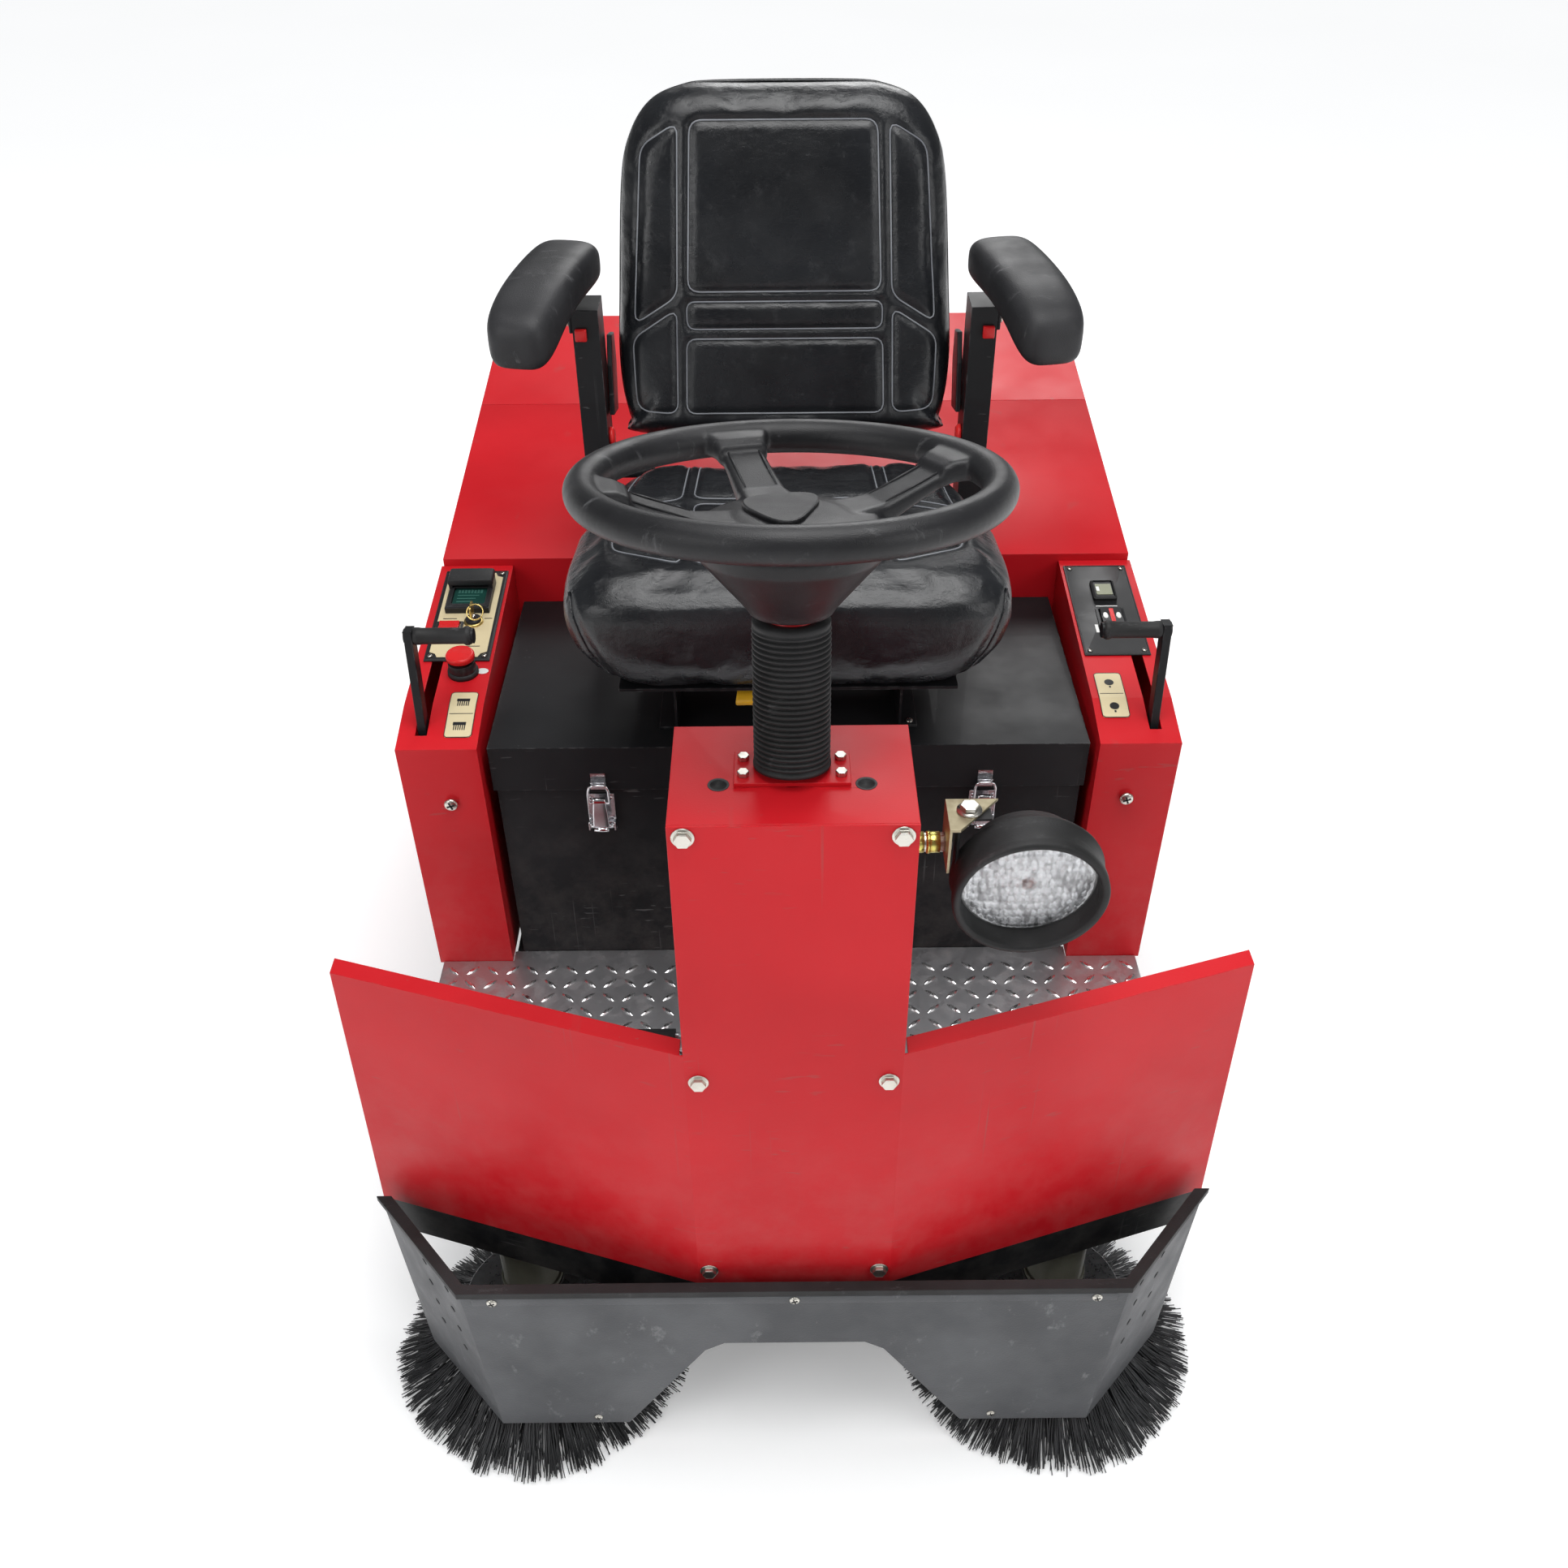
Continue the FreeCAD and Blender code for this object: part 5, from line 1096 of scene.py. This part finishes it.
def horn_faces():
    """Two pale legends and the red centre bar on the horn rocker."""
    rocker = surface_of(NODES["horn_switch"])
    place = on_console(*HORN_SWITCH)
    out = (place.to_3x3() @ Vector((0, 0, 1))).normalized()
    ovals = [[Vector((x + 0.0032 * math.cos(a), 0.0065 * math.sin(a))) for a in turns(20)]
             for x in (-0.0085, 0.0085)]
    bar = [Vector(p) for p in rounded_outline((-0.0028, -0.0140), (0.0028, 0.0140), 0.001, 3)]
    for name, outline, material in (("horn_left", ovals[0], WHITE), ("horn_right", ovals[1], WHITE),
                                    ("horn_bar", bar, RED_PLASTIC)):
        face = put(plate(name, outline, -0.0006, 0.0006, material), place)
        for vertex in face.data.vertices:
            lift = 0.0004 if (place.inverted() @ vertex.co).z > 0 else -0.0006
            hit = rocker.ray_cast(vertex.co + out * 0.1, -out)[0]
            if hit is not None:
                vertex.co = hit + out * lift
        fit(face, "horn_switch", "switch_plastic")


def left_console_panel():
    """Black instrument plate with the hour meter window, switch marks and screws."""
    place = on_console(*METER_PANEL)
    panel_screws(place, 0.0024)
    meter = on_console(0.421, 0.018)
    pane = rounded_outline((-0.0105, 0.006), (0.0105, 0.030), 0.001)
    window = plate("hour_meter_window", pane, 0.008, 0.0086, METER)
    cell = rounded_outline((-0.0100, 0.0135), (-0.0060, 0.0235), 0.0006, 2)
    cells = [plate("cell", cell, 0.0086, 0.0090, WHITE)]
    outer = rounded_outline((-0.0155, -0.002), (0.0155, 0.040), 0.003)
    inner = rounded_outline((-0.0128, 0.001), (0.0128, 0.037), 0.002)
    levels = [(outer, 0.0024), (outer, 0.0075), (inner, 0.0095), (inner, 0.0078)]
    rim = surround("hour_meter_rim", levels, RUBBER)
    for item in (window, join("hour_meter_cells", cells), rim):
        fit(put(item, meter), "chassis", "switch_plastic")
    marks = []
    for low, high in (((-0.012, 0.104), (0.016, 0.1055)), ((-0.020, 0.047), (-0.016, 0.064)),
                      ((0.020, 0.047), (0.0215, 0.064))):
        marks.append(printed_bar(low, high, 0.0024, 0.0026, WHITE))
    fit(put(join("meter_panel_marks", marks), place), "chassis", "switch_plastic")


def bar_mark(low, high):
    """A small printed black bar that stands just proud of a label."""
    return plate("icon", rounded_outline(low, high, 0.0004, 2), 0.0008, 0.0010, PANEL_BLACK)


def label_plates():
    """Cream pictogram plates beside the lift levers: brush icons right, round icons left."""
    for side, name, front, rear in ((1, "left", -0.215, -0.134), (-1, "right", -0.238, -0.161)):
        low_x, high_x = sorted((side * 0.382, side * 0.415))
        middle, split = (low_x + high_x) / 2, (front + rear) / 2
        outline = rounded_outline((low_x, front), (high_x, rear), 0.004)
        face = plate("label", outline, 0, 0.0008, CREAM)
        icons = [bar_mark((low_x + 0.002, split - 0.0005), (high_x - 0.002, split + 0.0005))]
        for y in (front + 0.0185, rear - 0.0185):
            if side > 0:
                round_icon = [Vector(p) for p in arc_points((middle, y), 0.0058, 0, 348, 24)]
                icons.append(plate("icon", round_icon, 0.0008, 0.0011, PANEL_BLACK))
                icons.append(bar_mark((middle - 0.0012, y - 0.0105), (middle + 0.0012, y - 0.0072)))
            else:
                icons.append(bar_mark((middle - 0.008, y + 0.001), (middle + 0.008, y + 0.006)))
                for index in range(6):
                    x = middle - 0.0068 + 0.0026 * index
                    icons.append(bar_mark((x, y - 0.007), (x + 0.0013, y + 0.001)))
        fit(drape(face, 0.0001), "chassis", "switch_plastic").name = f"{name}_label_plate"
        fit(drape(join(f"{name}_label_icons", icons), 0.0001), "chassis", "switch_plastic")
        rim = [Vector((p[0], p[1], console_height(p[1]) + 0.0009))
               for p in resample([Vector(q) for q in outline], 0.004)]
        fit(tube(f"{name}_label_rim", rim, 0.0005, PANEL_BLACK, 6, True), "chassis", "switch_plastic")


def console_fronts():
    """A large cross-head screw on the front of each console."""
    for side in (1, -1):
        fit_screw("console_screw", "chassis", (side * 0.415, -0.2611, 0.591), (0, -1, 0), 0.0085, 0.004)


def lever_grips():
    """Moulded hand grips over the lift levers' cross bars."""
    profile = [(0, 0), (0.0060, 0.0006), (0.0095, 0.0026), (0.0112, 0.0058), (0.0112, 0.0092)]
    profile += [(0.0096, 0.012), (0.0096, 0.060), (0.0102, 0.064), (0.0102, 0.0690)]
    profile += [(0.0086, 0.0715), (0.0045, 0.0730), (0, 0.0735)]
    for side, name in ((-1, "side_broom_lever"), (1, "main_broom_lever")):
        lever = Matrix.Translation((side * 0.443, -0.240, 0.500)) @ Matrix.Rotation(math.radians(-8), 4, "X")
        sleeve = lathe(f"{name}_grip", profile, RUBBER, 32)
        turn = Matrix.Rotation(math.radians(side * 90), 4, "Y")
        put(sleeve, lever @ Matrix.Translation((-side * 0.0755, 0, 0.294)) @ turn)
        fit(sleeve, name, "black_rubber")


# ---- latches, lamp, skirt and small fittings ------------------------------------------------

def latches():
    """Over-centre toggle latches: curled body, wire bail and hooked keeper."""
    for x, side in ((0.241, "left"), (-0.234, "right")):
        front = -0.243
        sections = []
        for height, half, depth in ((0.545, 0.0085, 0.0132), (0.552, 0.0105, 0.0136), (0.570, 0.0095, 0.0130),
                                    (0.586, 0.0082, 0.0128), (0.593, 0.0078, 0.0136)):
            outline = rounded_outline((x - half, front - depth), (x + half, front - 0.0094), 0.0016, 3)
            sections.append([(px, py, height) for px, py in outline])
        body = rings("latch_body", sections, CHROME)
        curl = tube("latch_curl", [(x - 0.009, front - 0.0125, 0.546), (x + 0.009, front - 0.0125, 0.546)],
                    0.0032, CHROME, 16)
        axle = [(x - 0.0135, -0.247, 0.546), (x + 0.0135, -0.247, 0.546)]
        knuckle = tube("latch_knuckle", axle, 0.0039, CHROME, 16)
        path = [(x + dx, front - 0.0112, z) for dx, z in
                ((-0.0125, 0.586), (-0.0125, 0.604), (-0.0105, 0.6105), (-0.006, 0.612), (0.006, 0.612),
                 (0.0105, 0.6105), (0.0125, 0.604), (0.0125, 0.586))]
        bail = tube("latch_bail", path, 0.0017, CHROME, 10, True)
        lever_part = join(f"{side}_latch_toggle", [body, curl, knuckle, bail])
        fit(lever_part, f"{side}_latch", "chrome_latch", f"{side}_latch_lever")
        hook = [(-0.2432, 0.598), (-0.2432, 0.624), (-0.2448, 0.624), (-0.2448, 0.609), (-0.2500, 0.6085)]
        hook += [(-0.2502, 0.6150), (-0.2517, 0.6150), (-0.2515, 0.6050), (-0.2448, 0.6052), (-0.2448, 0.598)]
        loops = [[(x + dx, y, z) for y, z in hook] for dx in (-0.009, 0.009)]
        keeper = rings(f"{side}_latch_keeper", loops, CHROME, smooth=False)
        fit(keeper, "battery_lid", "chrome_latch")
        for dx in (-0.0125, 0.0125):
            fit_screw("latch_rivet", "chassis", (x + dx, -0.2402, 0.583), (0, -1, 0), 0.0028, 0.0014,
                      CHROME, "chrome_latch")


def lamp():
    """Work lamp: ribbed glass, reflector, bulb shield and rubber hood, with its bolt and spacers."""
    side_count, radius = 60, 0.0615
    grid = {}
    vertices, faces = [], []
    for i in range(-side_count, side_count + 1):
        for j in range(-side_count, side_count + 1):
            x, y = i * radius / side_count, j * radius / side_count
            far = math.hypot(x, y)
            if far > radius:
                continue
            bulge = 0.0195 - 0.0065 * (far / radius) ** 2
            ribs = 0.0017 * abs(math.sin(math.pi * x / 0.0066))
            steps = 0.0014 * abs(math.sin(math.pi * y / 0.0105))
            inside = min(1.0, (radius - far) / 0.006)
            grid[i, j] = len(vertices)
            vertices.append((x, y, bulge + (ribs + steps) * inside))
    for i, j in grid:
        corners = [grid.get(key) for key in ((i, j), (i + 1, j), (i + 1, j + 1), (i, j + 1))]
        if all(corner is not None for corner in corners):
            faces.append(tuple(corners))
    front = build("lamp_glass_front", vertices, faces, GLASS)
    modifier(front, "SOLIDIFY", thickness=0.0025, offset=-1)
    apply_modifiers(front)
    fit(put(front, LAMP), "lamp", "lamp_glass", "lamp_lens")
    bowl = [(0.0, 0.0083), (0.020, 0.0084), (0.040, 0.0092)]
    bowl += [(0.054, 0.0108), (0.0612, 0.0128), (0.0628, 0.0130)]
    dish = shade(lathe("lamp_reflector", bowl, REFLECTOR, 40), False)
    fit(put(dish, LAMP), "lamp", "lamp_glass")
    cap = [(0, 0.0132), (0.014, 0.0128), (0.019, 0.0112), (0.020, 0.0088)]
    fit(put(lathe("lamp_bulb_shield", cap, RED_GLASS, 32), LAMP), "lamp", "lamp_glass")
    head = hex_bolt("lamp_bolt_head", 0.0088, 0.0066, ZINC)
    fit(put(head, Matrix.Translation((0.157, -0.668, 0.8852))), "lamp", "zinc_steel")
    for low, high, radius in ((0.1055, 0.1185, 0.0098), (0.1200, 0.1330, 0.0098), (0.1205, 0.1240, 0.0104)):
        sleeve = lathe("lamp_spacer", [(0.0091, 0), (radius, 0.0004), (radius, high - low - 0.0004),
                                       (0.0091, high - low)], YELLOW_ZINC, 40)
        fit(put(sleeve, facing((low, -0.668, 0.850), (1, 0, 0))), "chassis", "zinc_steel")
    lip = [(0.0632, 0.0085), (0.0632, 0.0335), (0.0655, 0.0365), (0.0695, 0.0365), (0.0712, 0.0340)]
    lip += [(0.0712, 0.0270), (0.0702, 0.0250), (0.0702, 0.0040), (0.0712, 0.0020)]
    lip += [(0.0704, -0.0010), (0.0660, -0.0080)]
    fit(put(lathe("lamp_hood", lip, RUBBER, 96), LAMP), "lamp", "black_rubber")


def skirt_fittings():
    """Retainer strip and screws on the front skirt, with flat black discs as painted shade for its punched
    holes.
    """
    skirt = surface_of(NODES["front_skirt"])
    bar = block("skirt_retainer", (-0.352, -0.7785, 0.296), (0.352, -0.7755, 0.3085), SKIRT, 0.0006)
    fit(bar, "chassis", "skirt_plastic")
    for x in (-0.330, 0.0, 0.330):
        fit_screw("skirt_screw", "chassis", (x, -0.7784, 0.302), (0, -1, 0), 0.0058, 0.003)
    for side in (1, -1):
        for z in (0.285, 0.245, 0.205, 0.165):
            for share in (0.22, 0.52):
                target = Vector((side * (0.365 + 0.10 * share), -0.776 + 0.125 * share, z))
                outward = Vector((side * 0.72, -0.60, 0)).normalized()
                hit, normal = skirt.ray_cast(target + outward * 0.2, -outward)[:2]
                if hit is None:
                    continue
                # No hole is cut: a flat black disc on the skirt is painted shade for the dark inside of each
                # punched hole.
                profile = [(0.0, 0.0), (0.0042, 0.0), (0.0042, 0.0004), (0, 0.0005)]
                dot = lathe("skirt_hole_shade", profile, RUBBER, 20)
                fit(put(dot, facing(hit + normal * 0.0001, normal)), "chassis", "skirt_plastic")
    for x, z in ((-0.235, 0.060), (0.235, 0.060)):
        hit, normal = skirt.ray_cast(Vector((x, -0.95, z)), Vector((0, 1, 0)))[:2]
        if hit is not None:
            fit_screw("skirt_low_screw", "chassis", hit, normal, 0.005, 0.0025)


def small_fittings():
    """Hole rims, seat caps, seat slide handle, stop button collar and label, and two screws."""
    for side in (1, -1):
        profile = [(0.0062, -0.004), (0.0074, 0.0001), (0.0092, 0.0004), (0.0094, 0.0)]
        hole_rim = lathe("tower_hole_rim", profile, RUBBER, 32)
        fit(put(hole_rim, Matrix.Translation((side * 0.063, -0.693, 0.934))), "chassis", "black_rubber")
        low, high = (side * 0.244 - 0.007, 0.0635, 1.036), (side * 0.244 + 0.007, 0.0702, 1.050)
        cap = block("bracket_cap", low, high, RED_PLASTIC, 0.0015, 3)
        fit(cap, "seat", "red_plastic")
        profile = [(0, 0), (0.0125, 0), (0.0125, 0.004), (0.009, 0.006), (0, 0.006)]
        disc = lathe("recline_cap", profile, RED_PLASTIC, 32)
        fit(put(disc, facing((side * 0.2215, 0.088, 0.908), (-side, 0, 0))), "seat", "red_plastic")
    grip = [(-0.047, -0.170, 0.7345), (-0.047, -0.225, 0.7345), (-0.047, -0.256, 0.732)]
    sections = []
    for (x, y, z), half in zip(grip, (0.004, 0.012, 0.0145)):
        outline = rounded_outline((x - half, z - 0.0035), (x + half, z + 0.0035), 0.002, 3)
        sections.append([(px, y, pz) for px, pz in outline])
    handle = rings("seat_slide_handle", sections, YELLOW)
    fit(handle, "seat", "red_plastic")
    profile = [(0.0171, 0.0), (0.0196, 0.0), (0.0190, 0.0050), (0.0171, 0.0062)]
    base = lathe("stop_collar", profile, RUBBER, 40)
    fit(put(base, on_console(-0.407, -0.120)), "chassis", "switch_plastic")
    outline = [Vector(p) for p in arc_points((0, 0), 0.0078, 0, 350, 36)]
    oval = plate("stop_label", outline, 0.0001, 0.0007, WHITE)
    flattened = on_console(-0.3835, -0.118) @ Matrix.Diagonal((1, 0.72, 1, 1))
    fit(put(oval, flattened), "chassis", "switch_plastic")
    fit_screw("stand_screw", "battery_lid", (0.149, -0.195, 0.6642), (0, 0, 1), 0.0045)
    fit_screw("tower_side_bolt", "chassis", (-0.1052, -0.621, 0.886), (-1, 0, 0), 0.0075, 0.004)


tread_lugs()
right_console_panel()
gauge()
key_and_switches()
left_console_panel()
horn_faces()
label_plates()
console_fronts()
lever_grips()
latches()
lamp()
skirt_fittings()
small_fittings()


# ---- carried-over CAD pieces ----------------------------------------------------------------

FINISHES = {
    RED: ["front_cover", "steering_tower", "steering_column", "left_console", "right_console",
          "rear_housing", "rear_cover"],
    BLACK: ["chassis_frame", "battery_box", "battery_lid", "broom_housing", "seat_stand", "seat_frame",
            "side_broom_lever", "main_broom_lever", "left_broom_arm", "right_broom_arm",
            "main_broom_arms", "steer_fork", "debris_hopper"],
    PANEL_BLACK: ["control_panels", "instruments", "horn_switch"],
    SKIRT: ["front_skirt"],
    RUBBER: ["skirt_trim", "lamp_housing", "drive_pedal"],
    BATTERY: ["batteries", "vacuum_fan", "backrest_frame"],
    TREAD: ["deck_plate"],
    TYRE: ["front_wheel", "left_rear_wheel", "right_rear_wheel"],
    STEEL: ["lower_shaft", "steering_chain", "left_broom_disc", "right_broom_disc"],
    MOTOR: ["drive_motor", "left_broom_motor", "right_broom_motor"],
    ZINC: ["cover_bolts"],
    OLIVE_ZINC: ["lamp_bracket"],
    CHROME: ["latch_bases"],
    RED_PLASTIC: ["stop_button", "light_switch"],
    FILTER: ["dust_filter"],
}
for finish, names in FINISHES.items():
    for node_name in names:
        node = NODES[node_name]
        node.data.materials.clear()
        node.data.materials.append(finish)
        modifier(node, "WELD", merge_threshold=0.00002)
        modifier(node, "BEVEL", width=0.0007, segments=2, limit_method="ANGLE",
                 angle_limit=math.radians(35), use_clamp_overlap=False, harden_normals=True)


# ---- floor, light and camera ----------------------------------------------------------------

def pale_floor():
    """A pale floor that glows with painted light, more strongly away from the machine."""
    floor_mesh = bpy.data.meshes.new("floor")
    reach = 14
    floor_mesh.from_pydata([(-reach, -reach, 0), (reach, -reach, 0), (reach, reach, 0), (-reach, reach, 0)],
                           [], [(0, 1, 2, 3)])
    floor = new_object("floor", floor_mesh)
    ground = Shader("pale_floor", Roughness=0.9)
    pale = ground.mix(ground.noise(0.7, 3), (0.90, 0.90, 0.90), (0.87, 0.87, 0.87))
    ground.set("Base Color", pale)
    # Emission on the floor: painted light, weaker near the machine and stronger further out.
    ground.set("Emission Color", pale)
    squares = [ground.math("POWER", ground.axis(letter), 2.0) for letter in "xy"]
    far = ground.math("SQRT", ground.math("ADD", *squares))
    ground.set("Emission Strength", ground.span(far, 0.9, 4.0, 0.24, 0.62))
    floor_mesh.materials.append(ground.material)


def sky():
    """A plain sky: brighter to the camera and dimmer in reflections."""
    base, camera_gain, glossy_gain = 0.48, 0.45, -0.34
    world = bpy.data.worlds.new("sky")
    bpy.context.scene.world = world
    world.use_nodes = True
    nodes, links = world.node_tree.nodes, world.node_tree.links
    backdrop = nodes["Background"]
    backdrop.inputs["Color"].default_value = (0.96, 0.98, 1.0, 1)
    rays = nodes.new("ShaderNodeLightPath")
    strength = None
    for output, gain in (("Is Camera Ray", camera_gain), ("Is Glossy Ray", glossy_gain)):
        term = nodes.new("ShaderNodeMath")
        term.operation = "MULTIPLY_ADD"
        links.new(rays.outputs[output], term.inputs[0])
        term.inputs[1].default_value = gain
        term.inputs[2].default_value = base
        if strength is not None:
            links.new(strength, term.inputs[2])
        strength = term.outputs[0]
    links.new(strength, backdrop.inputs["Strength"])


def lights():
    """Soft disks of light: place, aim, size in metres and power in watts."""
    for name, place, aim, size, power in (
        ("overhead", (0.2, -0.6, 3.4), (0, -0.1, 0.5), 2.4, 78),
        ("front_left", (-2.4, -2.6, 2.4), (0, -0.3, 0.5), 1.6, 30),
        ("front_right", (2.6, -2.2, 2.0), (0, -0.3, 0.4), 1.6, 20),
        ("rear", (0.4, 2.8, 2.6), (0, 0.3, 0.6), 1.8, 34),
    ):
        lamp_data = bpy.data.lights.new(name, "AREA")
        lamp_data.shape = "DISK"
        lamp_data.size = size
        lamp_data.energy = power
        light = new_object(name, lamp_data)
        light.location = place
        light.rotation_mode = "QUATERNION"
        light.rotation_quaternion = (Vector(aim) - Vector(place)).to_track_quat("-Z", "Y")


def viewpoint():
    """The camera, placed and aimed like the one that took the photograph."""
    camera_data = bpy.data.cameras.new("camera")
    camera_data.sensor_width = 36
    camera_data.lens = 33.49
    camera_data.shift_y = 0.0745
    camera = new_object("camera", camera_data)
    pitch, yaw, roll = (math.radians(a) for a in (40.81, -0.12, -0.45))
    aim = Matrix.Rotation(yaw, 4, "Z") @ Matrix.Rotation(math.radians(90) - pitch, 4, "X")
    camera.matrix_world = Matrix.Translation((-0.010, -1.697, 1.670)) @ aim @ Matrix.Rotation(roll, 4, "Z")
    bpy.context.scene.camera = camera
    bpy.context.scene.view_settings.view_transform = "Standard"


pale_floor()
sky()
lights()
viewpoint()
